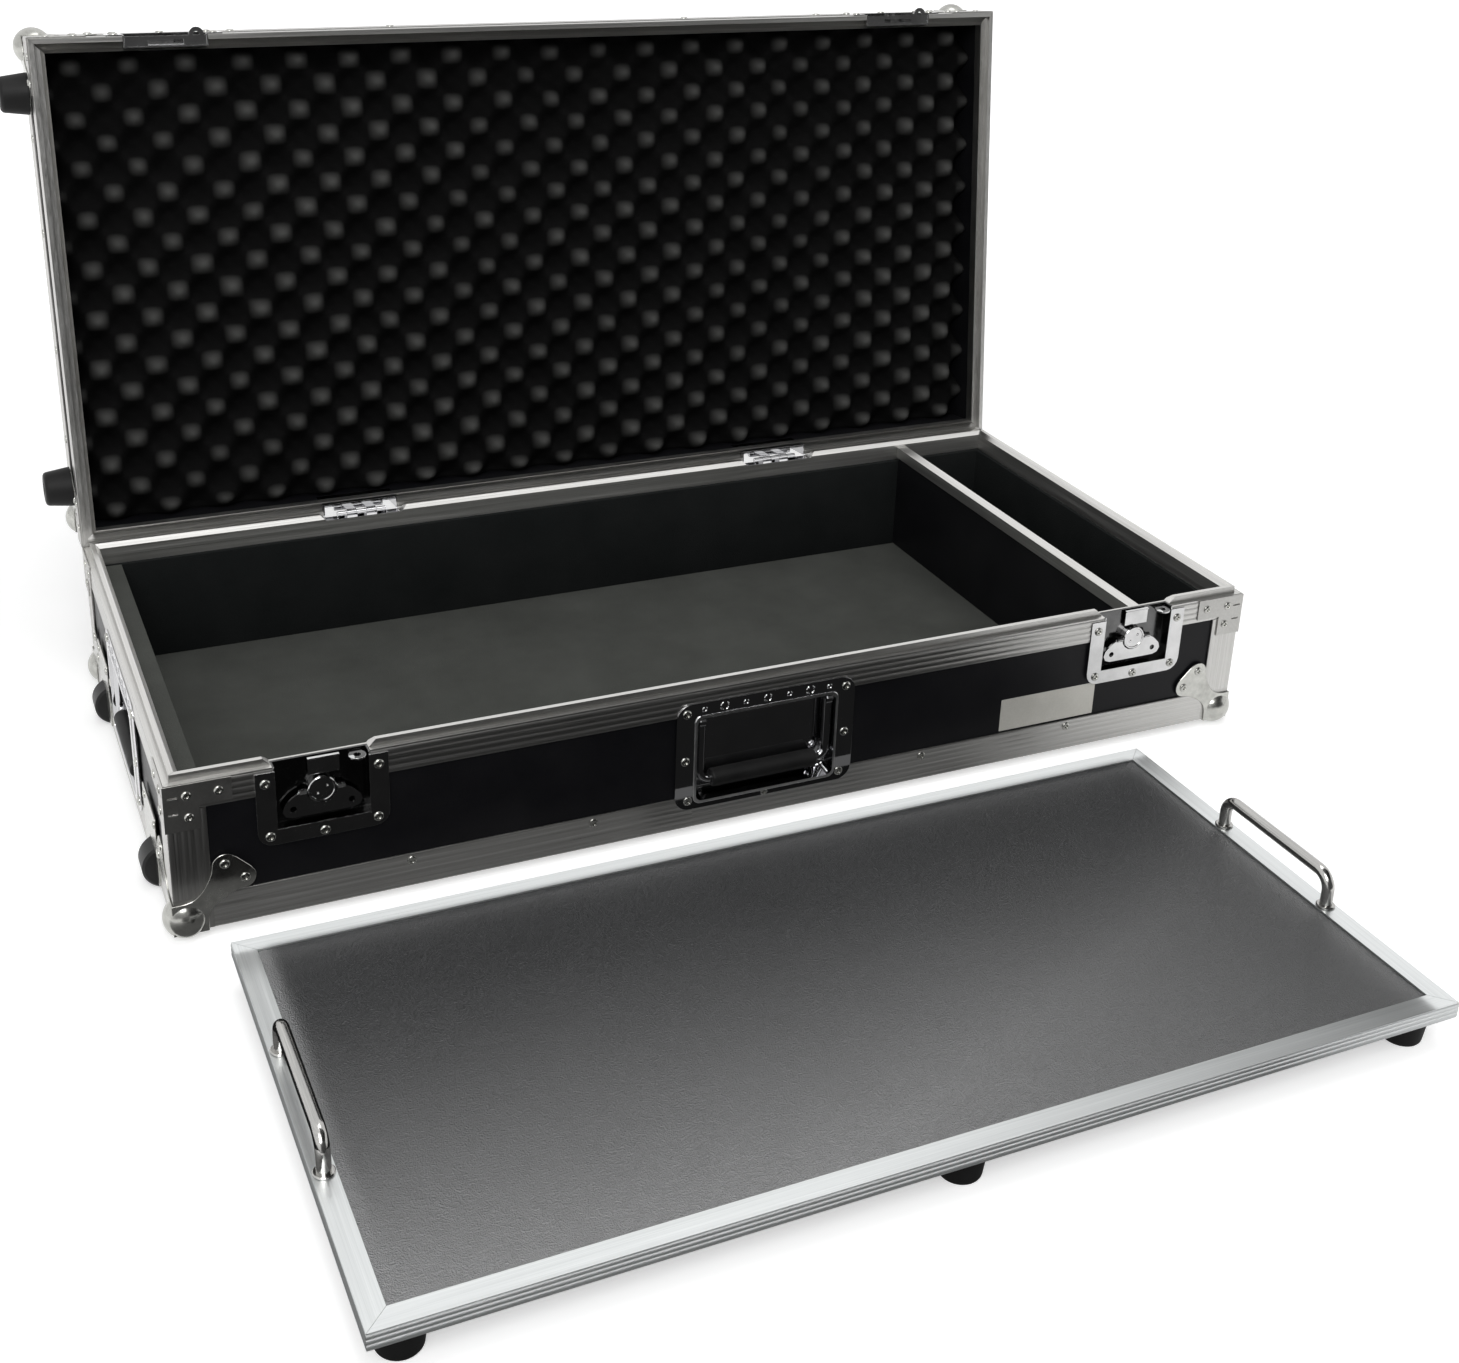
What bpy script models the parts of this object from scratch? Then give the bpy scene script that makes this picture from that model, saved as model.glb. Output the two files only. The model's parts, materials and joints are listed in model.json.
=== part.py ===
# Guitar pedal case: a low road case with a hinged lid, and the loose pedalboard that travels in it.
# Lengths are in metres. In the case frame the origin is on the floor under the middle of the base,
# X runs right along the front, Y runs back and Z runs up. The lid is modelled closed, then swung open.
import math

import bmesh
import bpy
from mathutils import Euler, Matrix, Vector

# Case shell
case_width = 1.002
case_depth = 0.473
base_height = 0.1312  # from the underside of the base edging to the outer ledge of the rim
lid_height = 0.0835  # from the parting plane to the top of the lid edging
lid_open_angle = math.radians(96.5)
hinge_axis_proud = 0.0004  # hinge axis outside the back face
panel_thickness = 0.009
skin = 0.0015  # wall of the aluminium extrusions
fit_gap = 0.0003  # between pieces that touch
overrun = 0.002  # how far a cutter passes the face that it cuts

# Closing extrusions: a tongue on the base rim, a groove in the lid rim
rim_skirt = 0.023
rim_inner_skirt = 0.015
rim_width = 0.013
rim_web = 0.003
ledge_width = 0.0048
tongue_draft = 0.0004
tongue_height = 0.006
tongue_flat = 0.0042
tongue_inner_height = 0.002
groove_lip_play = 0.0004
groove_roof_play = 0.0008
groove_side_play = 0.0005
groove_inner_play = 0.0014

# Angle edging, its corner braces and the plates that lie over it
edging_leg = 0.030
plate_thickness = 0.0012
base_brace_drop = 0.0003
base_brace_band = 0.020
base_brace_height = 0.040
lid_brace_drop = 0.0026
lid_brace_band = 0.0165
lid_brace_height = 0.030
brace_length = 0.050
brace_leg = 0.025
brace_sink = 0.0005  # how far a brace's lower leg reaches into the edging that carries it

# Ball corners
ball_radius = 0.0175
ball_inset = 0.0095
corner_chamfer = 0.005
ball_plate_reach = 0.063
ball_plate_shares = (
    (0.41, 0), (0.43, 0.21), (0.55, 0.36), (0.76, 0.48), (0.92, 0.51), (1, 0.59), (1, 0.68), (0.92, 0.76),
)

# Recessed dishes in the walls
dish_depth = 0.0094
dish_half_width = 0.0365
dish_corner = 0.012
rim_keep = 0.0109  # inset past which a rim stays whole behind a dish

# Latches
latch_from_end = 0.119  # from an end of the case to the middle of the latch
latch_flange_half_width = 0.052
latch_flange_height = 0.0677
latch_flange_top_drop = 0.0032
latch_floor_drop = 0.0544
knob_drop = 0.0282
knob_radius = 0.0113
knob_face_inset = 0.002
wing_half_width = 0.0315
wing_thickness = 0.0016
wing_axis_inset = 0.004
wing_cutout_radius = 0.0122
wing_hole_radius = 0.0026
wing_hole_offset = 0.023
wing_hole_drop = 0.014
wing_knuckle_end = 0.018
wing_knuckle_radius = 0.0024
wing_pin_radius = 0.0012
wing_shares = ((0.57, -0.02), (0.76, -0.13), (0.95, -0.32), (1, -0.48), (0.93, -0.62), (0.77, -0.68))
hook_left = 0.010
hook_right = 0.015
hook_face_inset = 0.0056
hook_lip_inset = 0.0043
hook_bottom = 0.0123  # above the knob centre
hook_top = 0.0275
hook_lip_height = 0.0012
hook_foot_half_width = 0.005
hook_foot_height = 0.0084
eye_offset = 0.028
eye_radius = 0.007
eye_hole_radius = 0.003
eye_thickness = 0.0015
eye_arm_half_width = 0.005
base_eye_drop = 0.0022
base_eye_inset = 0.001

# Lid catches
catch_ceiling = 0.033
catch_flange_low = 0.0035
catch_flange_high = 0.044
catch_plate_rise = 0.0006
catch_slot_half_width = 0.01575
catch_slot_near = 0.0038
catch_slot_far = 0.0086
lid_eye_rise = 0.0026

# Recessed stop hinges
hinge_from_end = 0.269
hinge_floor_drop = 0.0344
hinge_flange_half_width = 0.050
hinge_flange_height = 0.045
hinge_knuckle_radius = 0.003
hinge_pin_radius = 0.0012
hinge_segment = 0.010
hinge_segments = 5
hinge_tab_near = 0.0008
hinge_tab_far = 0.0036
hinge_block_near = 0.0095
hinge_block_height = 0.006
hinge_mouth_play = 0.0008

# Recessed handles
handle_flange_half_width = 0.0845
handle_flange_bottom = 0.0180  # above the underside of the edging
handle_flange_top = 0.1200
handle_half_width = 0.066
handle_floor = 0.025
handle_ceiling = 0.1064
handle_depth = 0.0118
bail_pivot_height = 0.1005
bail_inset = 0.0034
bail_half_width = 0.060
bail_grip_height = 0.043
bail_radius = 0.004
bail_pin_radius = 0.0025
bail_bend = 0.009
grip_radius = 0.008
grip_half_length = 0.050

# Wheels in the left end
wheel_radius = 0.0195
wheel_width = 0.0245
wheel_axis_inset = 0.007
wheel_edge = 0.002
axle_radius = 0.003
cup_clearance = 0.001
cup_side_clearance = 0.0005
cup_corner_gap = 0.0015  # from a cup's flange to the ball corner's plate
cup_flange_outer = 0.027
cup_flange_inner_share = 0.628  # of the room between the wheel and the handle's flange
cup_flange_bottom = 0.002  # above the underside of the edging
cup_flange_top = 0.067

# Lining and foams
mat_thickness = 0.003
lining_thickness = 0.005
end_foam_thickness = 0.0204
divider_from_end = 0.115
divider_cap_thickness = 0.001
divider_cap_leg = 0.012
foam_valley_depth = 0.022
foam_peak_depth = 0.047
foam_pitch = 0.026

# Feet on the lid's left end
lid_foot_radius = 0.019
lid_foot_tip_radius = 0.014
lid_foot_height = 0.025
lid_foot_from_corner = 0.050
lid_foot_rise = 0.0417

# Pedalboard
board_width = 0.8128
board_depth = 0.399
board_left_of_case = 0.0638  # board centre left of the case centre
board_gap = 0.0709  # from the case's front face to the board's back edge
board_foot_height = 0.0267
board_foot_radius = 0.018
board_foot_tip_radius = 0.0155
board_foot_inset = 0.025
board_edging_height = 0.013
board_edging_leg = 0.016
board_handle_half_span = 0.0635
board_handle_height = 0.031
board_handle_radius = 0.005
board_handle_bend = 0.013

# Mesh fineness
round_sides = 24
small_sides = 12
arc_steps = 4
rod_bevel_steps = 2

# Levels and insets worked out from the sizes above
panel_inset = skin + fit_gap
wall_inner = panel_inset + panel_thickness
lining_outer = wall_inner + fit_gap
lining_inner = lining_outer + lining_thickness
plate_inset = -fit_gap - plate_thickness
edging_base = ball_radius - ball_inset
ledge_level = edging_base + base_height
parting_level = ledge_level + fit_gap
lid_top = parting_level + lid_height
hinge_level = (ledge_level + parting_level) / 2
hinge_y = case_depth / 2 + hinge_axis_proud
bottom_panel_base = edging_base + panel_inset
bottom_panel_top = bottom_panel_base + panel_thickness
wall_base = bottom_panel_top + fit_gap
wall_top = ledge_level - rim_web - fit_gap
lining_top = ledge_level - rim_inner_skirt - fit_gap
mat_top = wall_base + mat_thickness
notch_half_width = dish_half_width + plate_thickness + fit_gap
lid_wall_base = parting_level + tongue_height + groove_roof_play + rim_web + fit_gap
lid_wall_top = lid_top - panel_inset - panel_thickness - fit_gap
knob_level = ledge_level - knob_drop
latch_offset = case_width / 2 - latch_from_end
hinge_offset = case_width / 2 - hinge_from_end
divider_offset = case_width / 2 - divider_from_end
wheel_x = -case_width / 2 + wheel_axis_inset
wheel_level = wheel_radius + fit_gap
cup_radius = wheel_radius + cup_clearance
cup_half_width = wheel_width / 2 + cup_side_clearance
wheel_offset = case_depth / 2 - ball_plate_reach - cup_corner_gap - cup_flange_outer
cup_flange_inner = cup_flange_inner_share * (wheel_offset - handle_flange_half_width)
lid_foot_offset = case_depth / 2 - lid_foot_from_corner
board_ahead_of_case = case_depth / 2 + board_gap + board_depth / 2

# Where the origin, the middle of the underside of the whole object's box, lies in the case frame
lid_foot_seat = -case_width / 2 + plate_inset - fit_gap
left_reach = lid_foot_seat - lid_foot_height
right_reach = case_width / 2 + ball_radius - ball_inset
front_reach = -board_ahead_of_case - board_depth / 2
lid_ball_centre = Vector((0, ball_inset - case_depth / 2 - hinge_y, lid_top - ball_inset - hinge_level))
lid_turn = Euler((-lid_open_angle, 0, 0)).to_matrix()
back_reach = hinge_y + (lid_turn @ lid_ball_centre).y + ball_radius
frame_shift = Vector((-(left_reach + right_reach) / 2, -(front_reach + back_reach) / 2, 0))

# Each wall's own frame: X along the wall, Y inward from its outer face, Z up
wall_frames = {
    "front": Matrix.Translation((0, -case_depth / 2, 0)),
    "back": Matrix.Translation((0, case_depth / 2, 0)) @ Matrix.Diagonal((1, -1, 1, 1)),
    "left": Matrix.Translation((-case_width / 2, 0, 0)) @ Matrix(
        ((0, 1, 0, 0), (1, 0, 0, 0), (0, 0, 1, 0), (0, 0, 0, 1))
    ),
}

# Colour, roughness and metallic value of each finish
finishes = {
    "black_laminate": ((0.012, 0.012, 0.013), 0.45, 0),
    "textured_laminate": ((0.022, 0.023, 0.025), 0.6, 0),
    "satin_aluminium": ((0.72, 0.72, 0.71), 0.38, 1),
    "chrome": ((0.80, 0.80, 0.80), 0.1, 1),
    "zinc_steel": ((0.66, 0.66, 0.64), 0.28, 1),
    "stainless": ((0.55, 0.53, 0.50), 0.3, 1),
    "black_rubber": ((0.012, 0.012, 0.012), 0.7, 0),
    "black_plastic": ((0.016, 0.016, 0.016), 0.5, 0),
    "grey_foam": ((0.048, 0.051, 0.048), 0.95, 0),
    "black_foam": ((0.010, 0.010, 0.010), 0.95, 0),
}


def clear_scene():
    for item in list(bpy.data.objects):
        bpy.data.objects.remove(item, do_unlink=True)


def finish_material(finish):
    material = bpy.data.materials.get(finish)
    if material is None:
        colour, roughness, metallic = finishes[finish]
        material = bpy.data.materials.new(finish)
        material.use_nodes = True
        shader = material.node_tree.nodes["Principled BSDF"]
        shader.inputs["Base Color"].default_value = (*colour, 1)
        shader.inputs["Roughness"].default_value = roughness
        shader.inputs["Metallic"].default_value = metallic
    return material


def finished(piece, finish, parent, pivot=None):
    # The mesh is drawn in its parent's drawing frame, and the origin moves to the pivot, if there is one
    pivot = Vector((0, 0, 0)) if pivot is None else Vector(pivot)
    piece.data.transform(Matrix.Translation(-pivot))
    piece["drawn_origin"] = pivot
    piece.data.materials.clear()
    piece.data.materials.append(finish_material(finish))
    piece.data.shade_smooth()
    piece.data.set_sharp_from_angle(angle=math.radians(35))
    piece.parent = parent
    piece.location = pivot - Vector(parent["drawn_origin"])
    return piece


# Solids

def object_from(name, shape):
    bmesh.ops.recalc_face_normals(shape, faces=shape.faces)
    mesh = bpy.data.meshes.new(name)
    shape.to_mesh(mesh)
    shape.free()
    piece = bpy.data.objects.new(name, mesh)
    bpy.context.scene.collection.objects.link(piece)
    return piece


def point_on(axis, along, first, second):
    point = [first, second]
    point.insert(axis, along)
    return point


def box(name, low, high):
    shape = bmesh.new()
    bmesh.ops.create_cube(shape, size=1)
    low, high = Vector(low), Vector(high)
    bmesh.ops.scale(shape, vec=high - low, verts=shape.verts)
    bmesh.ops.translate(shape, vec=(high + low) / 2, verts=shape.verts)
    return object_from(name, shape)


def prism(name, outline, start, end, axis=1):
    # An outline across the axis, drawn out along it
    shape = bmesh.new()
    corners = [shape.verts.new(point_on(axis, start, *point)) for point in outline]
    face = shape.faces.new(corners)
    drawn = bmesh.ops.extrude_face_region(shape, geom=[face])["geom"]
    moved = [item for item in drawn if isinstance(item, bmesh.types.BMVert)]
    bmesh.ops.translate(shape, vec=point_on(axis, end - start, 0, 0), verts=moved)
    return object_from(name, shape)


def hull(name, points):
    shape = bmesh.new()
    for point in points:
        shape.verts.new(point)
    bmesh.ops.convex_hull(shape, input=shape.verts)
    return object_from(name, shape)


def arc(centre, radius, start, end, steps):
    turns = [start + (end - start) * step / steps for step in range(steps + 1)]
    return [(centre[0] + radius * math.cos(t), centre[1] + radius * math.sin(t)) for t in turns]


def circle(radius, centre=(0, 0), sides=round_sides):
    return arc(centre, radius, 0, 2 * math.pi, sides)[:-1]


def rounded_rectangle(low, high, radius):
    points = []
    centres = (
        (high[0] - radius, high[1] - radius),
        (low[0] + radius, high[1] - radius),
        (low[0] + radius, low[1] + radius),
        (high[0] - radius, low[1] + radius),
    )
    for quarter, centre in enumerate(centres):
        start = quarter * math.pi / 2
        points += arc(centre, radius, start, start + math.pi / 2, arc_steps)
    return points


def turned(name, profile, axis, centre, sides=round_sides):
    # A solid of revolution from (radius, along) points, its two ends closed by flat discs
    shape = bmesh.new()
    loops = []
    for radius, along in profile:
        loop = [shape.verts.new(point_on(axis, along, *spot)) for spot in circle(radius, (0, 0), sides)]
        loops.append(loop)
    for near, far in zip(loops, loops[1:]):
        for here in range(sides):
            there = (here + 1) % sides
            shape.faces.new((near[here], near[there], far[there], far[here]))
    shape.faces.new(loops[0])
    shape.faces.new(loops[-1])
    bmesh.ops.translate(shape, vec=Vector(centre), verts=shape.verts)
    return object_from(name, shape)


def mitred_ring(name, profile, width, depth, level):
    # A profile of (inset, rise) points run round a rectangle with mitred corners
    shape = bmesh.new()
    loops = []
    for side_x, side_y in ((-1, -1), (1, -1), (1, 1), (-1, 1)):
        loop = []
        for inset, rise in profile:
            spot = (side_x * (width / 2 - inset), side_y * (depth / 2 - inset), level + rise)
            loop.append(shape.verts.new(spot))
        loops.append(loop)
    for here, there in zip(loops, loops[1:] + loops[:1]):
        for index in range(len(profile)):
            after = (index + 1) % len(profile)
            shape.faces.new((here[index], here[after], there[after], there[index]))
    return object_from(name, shape)


def rod(name, route, radii):
    # A round rod along a route of points, with its own radius at each point
    curve = bpy.data.curves.new(name, "CURVE")
    curve.dimensions = "3D"
    curve.bevel_depth = 1
    curve.bevel_resolution = rod_bevel_steps
    curve.use_fill_caps = True
    line = curve.splines.new("POLY")
    line.points.add(len(route) - 1)
    for spot, place, radius in zip(line.points, route, radii):
        spot.co = (*place, 1)
        spot.radius = radius
    holder = bpy.data.objects.new(name, curve)
    bpy.context.scene.collection.objects.link(holder)
    drawn = holder.evaluated_get(bpy.context.evaluated_depsgraph_get())
    mesh = bpy.data.meshes.new_from_object(drawn)
    bpy.data.objects.remove(holder, do_unlink=True)
    shape = bmesh.new()
    shape.from_mesh(mesh)
    bmesh.ops.remove_doubles(shape, verts=shape.verts, dist=fit_gap / 10)
    return object_from(name, shape)


def combine(target, tools, operation):
    bpy.context.view_layer.objects.active = target
    for tool in tools:
        change = target.modifiers.new(tool.name, "BOOLEAN")
        change.operation = operation
        change.object = tool
        bpy.ops.object.modifier_apply(modifier=change.name)
        bpy.data.objects.remove(tool, do_unlink=True)
    return target


def cut(target, *tools):
    return combine(target, tools, "DIFFERENCE")


def join(target, *tools):
    return combine(target, tools, "UNION")


def placed(piece, matrix):
    piece.data.transform(matrix)
    if matrix.determinant() < 0:
        piece.data.flip_normals()
    return piece


# Cutters that clear a way through the shell

def notch(wall, middle, bottom, top):
    # Room for an open dish in a rim and a wall, up to the inset past which the rim stays whole
    low = (middle - notch_half_width, -overrun, bottom)
    high = (middle + notch_half_width, rim_keep, top)
    return placed(box("notch", low, high), wall_frames[wall])


def handle_hole(wall):
    side = handle_half_width + plate_thickness + fit_gap
    low = (-side, -overrun, edging_base + handle_floor - plate_thickness - fit_gap)
    play = plate_thickness + fit_gap
    high = (side, handle_depth + play, edging_base + handle_ceiling + play)
    return placed(box("handle_hole", low, high), wall_frames[wall])


def wheel_hole(side):
    middle = side * wheel_offset
    reach = cup_half_width + plate_thickness + fit_gap
    outline = circle(cup_radius + plate_thickness + fit_gap, (wheel_x, wheel_level), 2 * round_sides)
    return prism("wheel_hole", outline, middle - reach, middle + reach)


# Closing extrusions

def base_rim(case):
    rim_channel = wall_inner + fit_gap
    tongue_top = ledge_width + tongue_draft
    profile = (
        (0, -rim_skirt),
        (0, 0),
        (ledge_width, 0),
        (tongue_top, tongue_height),
        (tongue_top + tongue_flat, tongue_height),
        (rim_width, tongue_inner_height),
        (rim_width, -rim_inner_skirt),
        (rim_channel, -rim_inner_skirt),
        (rim_channel, -rim_web),
        (skin, -rim_web),
        (skin, -rim_skirt),
    )
    rim = mitred_ring("base_rim", profile, case_width, case_depth, ledge_level)
    places = [("front", side * latch_offset) for side in (-1, 1)]
    places += [("back", side * hinge_offset) for side in (-1, 1)]
    tongue_end = notch_half_width + tongue_height
    for wall, middle in places:
        above = ledge_level + tongue_height + overrun
        cut(rim, notch(wall, middle, ledge_level - rim_skirt - overrun, above))
        slope = (
            (middle - notch_half_width, ledge_level),
            (middle + notch_half_width, ledge_level),
            (middle + tongue_end + overrun, above),
            (middle - tongue_end - overrun, above),
        )
        cut(rim, placed(prism("tongue_end", slope, -overrun, rim_width + overrun), wall_frames[wall]))
    finished(rim, "satin_aluminium", case)


def lid_rim(lid):
    rim_channel = wall_inner + fit_gap
    groove_roof = tongue_height + groove_roof_play
    groove_far = ledge_width + tongue_draft + tongue_flat + groove_side_play
    profile = (
        (0, 0),
        (ledge_width - groove_lip_play, 0),
        (ledge_width - groove_lip_play, groove_roof),
        (groove_far, groove_roof),
        (rim_width, tongue_inner_height + groove_inner_play),
        (rim_width, rim_inner_skirt),
        (rim_channel, rim_inner_skirt),
        (rim_channel, groove_roof + rim_web),
        (skin, groove_roof + rim_web),
        (skin, rim_skirt),
        (0, rim_skirt),
    )
    rim = mitred_ring("lid_rim", profile, case_width, case_depth, parting_level)
    places = [("front", side * latch_offset) for side in (-1, 1)]
    places += [("back", side * hinge_offset) for side in (-1, 1)]
    for wall, middle in places:
        cut(rim, notch(wall, middle, parting_level - overrun, parting_level + rim_skirt + overrun))
    finished(rim, "satin_aluminium", lid)


# Angle edging with the braces of its open corners, drawn with its closed side down at level zero

def edging_shell(name, height, brace_top, brace_band, brace_height):
    half_width, half_depth = case_width / 2, case_depth / 2
    shell = box(name, (-half_width, -half_depth, 0), (half_width, half_depth, height))
    inside = (half_width - skin, half_depth - skin)
    cut(shell, box("inside", (-inside[0], -inside[1], skin), (*inside, height + overrun)))
    window_x, window_y = half_width - edging_leg, half_depth - edging_leg
    cut(
        shell,
        box("floor", (-window_x, -window_y, -overrun), (window_x, window_y, skin + overrun)),
        box(
            "ends",
            (-half_width - overrun, -window_y, edging_leg),
            (half_width + overrun, window_y, height + overrun),
        ),
        box(
            "sides",
            (-window_x, -half_depth - overrun, edging_leg),
            (window_x, half_depth + overrun, height + overrun),
        ),
    )
    seat = height - fit_gap
    bottom = brace_top - brace_height
    for side_x in (-1, 1):
        for side_y in (-1, 1):
            band_base = brace_top - brace_band
            band = corner_angle(brace_length, plate_inset, -fit_gap, band_base, brace_top)
            leg = corner_angle(brace_leg, plate_inset, -fit_gap, bottom, band_base + fit_gap)
            root = corner_angle(brace_leg, plate_inset, brace_sink, bottom, seat)
            brace = join(band, leg, root)
            corner = Matrix.Translation((-half_width, -half_depth, 0))
            turn = Matrix.Diagonal((-side_x, -side_y, 1, 1))
            join(shell, placed(brace, turn @ corner))
            cut(shell, placed(corner_tip(), turn @ corner))
    return shell


def corner_angle(length, outer, inner, bottom, top):
    # An angle of two equal legs round a corner at zero, between two insets from the outer faces
    outline = (
        (outer, outer), (length, outer), (length, inner),
        (inner, inner), (inner, length), (outer, length),
    )
    return prism("corner_angle", outline, bottom, top, axis=2)


def corner_tip():
    # The tip that is ground off a corner of the edging under its ball
    far = corner_chamfer + 2 * overrun
    near = -overrun
    return hull("corner_tip", ((near, near, near), (far, near, near), (near, far, near), (near, near, far)))


def base_edging(case):
    height = base_height - rim_skirt - fit_gap
    brace_top = base_height - base_brace_drop
    shell = edging_shell("base_edging", height, brace_top, base_brace_band, base_brace_height)
    placed(shell, Matrix.Translation((0, 0, edging_base)))
    cut(shell, handle_hole("front"), handle_hole("left"), wheel_hole(-1), wheel_hole(1))
    finished(shell, "satin_aluminium", case)


def lid_edging(lid):
    height = lid_height - rim_skirt - fit_gap
    brace_top = lid_height - lid_brace_drop
    shell = edging_shell("lid_edging", height, brace_top, lid_brace_band, lid_brace_height)
    placed(shell, Matrix.Translation((0, 0, lid_top)) @ Matrix.Diagonal((1, 1, -1, 1)))
    finished(shell, "satin_aluminium", lid)


# Ball corners, drawn in a corner at zero with the case on the positive side of all three faces

def ball_corner(name):
    centre = (ball_inset, ball_inset, ball_inset)
    rings = round_sides // 2
    profile = []
    for ring in range(1, rings):
        turn = math.pi * ring / rings
        profile.append((ball_radius * math.sin(turn), -ball_radius * math.cos(turn)))
    pole_radius = ball_radius * math.sin(math.pi / rings / 4)
    profile = [(pole_radius, -ball_radius), *profile, (pole_radius, ball_radius)]
    ball = turned(name, profile, 2, centre, round_sides)
    half = [(reach * ball_plate_reach, side * ball_plate_reach) for reach, side in ball_plate_shares]
    outline = [(side, reach) for reach, side in half] + half[::-1]
    outline[0] = (plate_inset, outline[0][1])
    outline[-1] = (outline[-1][0], plate_inset)
    outline.append((plate_inset, plate_inset))
    for axis in (0, 1, 2):
        join(ball, prism("plate", outline, plate_inset, -fit_gap, axis))
    far = 2 * ball_plate_reach
    near = -fit_gap
    tip = corner_chamfer - math.sqrt(3) * fit_gap + 2 * fit_gap
    inside = [(x, y, z) for x in (near, far) for y in (near, far) for z in (near, far)]
    inside.remove((near, near, near))
    inside += [(tip, near, near), (near, tip, near), (near, near, tip)]
    return cut(ball, hull("inside", inside))


def ball_corners(parent, prefix, level, up):
    for side_x, side_name in ((-1, "left"), (1, "right")):
        for side_y, depth_name in ((-1, "front"), (1, "back")):
            ball = ball_corner(f"{prefix}_ball_corner_{depth_name}_{side_name}")
            corner = Matrix.Translation((side_x * case_width / 2, side_y * case_depth / 2, level))
            placed(ball, corner @ Matrix.Diagonal((-side_x, -side_y, up, 1)))
            finished(ball, "zinc_steel", parent)


# Wooden panels

def base_panels(case):
    outer_x, outer_y = case_width / 2 - panel_inset, case_depth / 2 - panel_inset
    inner_x, inner_y = case_width / 2 - wall_inner, case_depth / 2 - wall_inner
    low, high = (-outer_x, -outer_y, bottom_panel_base), (outer_x, outer_y, bottom_panel_top)
    bottom = box("base_bottom_panel", low, high)
    cut(bottom, wheel_hole(-1), wheel_hole(1))
    front = box("base_front_panel", (-outer_x, -outer_y, wall_base), (outer_x, -inner_y, wall_top))
    cut(front, handle_hole("front"))
    back = box("base_back_panel", (-outer_x, inner_y, wall_base), (outer_x, outer_y, wall_top))
    for side in (-1, 1):
        latch_room = ledge_level - latch_floor_drop - plate_thickness - fit_gap
        hinge_room = ledge_level - hinge_floor_drop - plate_thickness - fit_gap
        cut(front, notch("front", side * latch_offset, latch_room, ledge_level))
        cut(back, notch("back", side * hinge_offset, hinge_room, ledge_level))
    end_y = inner_y - fit_gap
    left = box("base_left_panel", (-outer_x, -end_y, wall_base), (-inner_x, end_y, wall_top))
    cut(left, handle_hole("left"), wheel_hole(-1), wheel_hole(1))
    right = box("base_right_panel", (inner_x, -end_y, wall_base), (outer_x, end_y, wall_top))
    for panel in (bottom, front, back, left, right):
        finished(panel, "black_laminate", case)


def lid_panels(lid):
    outer_x, outer_y = case_width / 2 - panel_inset, case_depth / 2 - panel_inset
    inner_x, inner_y = case_width / 2 - wall_inner, case_depth / 2 - wall_inner
    panel_top = lid_top - panel_inset
    low, high = (-outer_x, -outer_y, panel_top - panel_thickness), (outer_x, outer_y, panel_top)
    top = box("lid_top_panel", low, high)
    walls = box("lid_wall_frame", (-outer_x, -outer_y, lid_wall_base), (outer_x, outer_y, lid_wall_top))
    low = (-inner_x, -inner_y, lid_wall_base - overrun)
    cut(walls, box("inside", low, (inner_x, inner_y, lid_wall_top + overrun)))
    room = parting_level + catch_ceiling + plate_thickness + fit_gap
    for side in (-1, 1):
        cut(walls, notch("front", side * latch_offset, parting_level, room))
        cut(walls, notch("back", side * hinge_offset, parting_level, room))
    finished(top, "black_laminate", lid)
    finished(walls, "black_laminate", lid)


# Open dishes, drawn in a wall's frame round zero along the wall

def open_dish(name, floor, mouth, flange_half_width, flange_far, flange_near):
    # The dish runs from its closed end at floor to its open end at mouth, up or down
    way = 1 if mouth > floor else -1
    flange = rounded_rectangle(
        (-flange_half_width, min(flange_far, flange_near + way * dish_corner)),
        (flange_half_width, max(flange_far, flange_near + way * dish_corner)),
        dish_corner,
    )
    dish = prism(name, flange, plate_inset, -fit_gap)
    beyond = flange_near + way * 2 * dish_corner
    trim = (min(flange_near, beyond), max(flange_near, beyond))
    wide = 2 * flange_half_width
    cut(dish, box("trim", (-wide, -2 * overrun, trim[0]), (wide, overrun, trim[1])))
    side = dish_half_width + plate_thickness
    back = dish_depth + plate_thickness
    shut = floor - way * plate_thickness
    low, high = sorted((shut, mouth))
    join(dish, box("tub", (-side, plate_inset / 2, low), (side, back, high)))
    low, high = sorted((floor, mouth + way * overrun))
    hollow = box("hollow", (-dish_half_width, -2 * overrun, low), (dish_half_width, dish_depth, high))
    return cut(dish, hollow)


def eye(inset, bottom):
    # A padlock eye, a flat ring held by an arm from the back of the dish
    outline = circle(eye_radius, (eye_offset, inset), small_sides * 2)
    plate = prism("eye", outline, bottom, bottom + eye_thickness, axis=2)
    low = (eye_offset - eye_arm_half_width, inset, bottom)
    high = (eye_offset + eye_arm_half_width, dish_depth + plate_thickness / 2, bottom + eye_thickness)
    join(plate, box("arm", low, high))
    hole = circle(eye_hole_radius, (eye_offset, inset), small_sides)
    return cut(plate, prism("hole", hole, bottom - overrun, bottom + eye_thickness + overrun, axis=2))


def latch_dish(name, middle, case):
    floor = ledge_level - latch_floor_drop
    mouth = ledge_level - fit_gap
    flange_far = ledge_level - latch_flange_height
    flange_near = ledge_level - latch_flange_top_drop
    dish = open_dish(name, floor, mouth, latch_flange_half_width, flange_far, flange_near)
    join(dish, eye(base_eye_inset, ledge_level - base_eye_drop - eye_thickness))
    placed(dish, wall_frames["front"] @ Matrix.Translation((middle, 0, 0)))
    finished(dish, "chrome", case)


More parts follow.
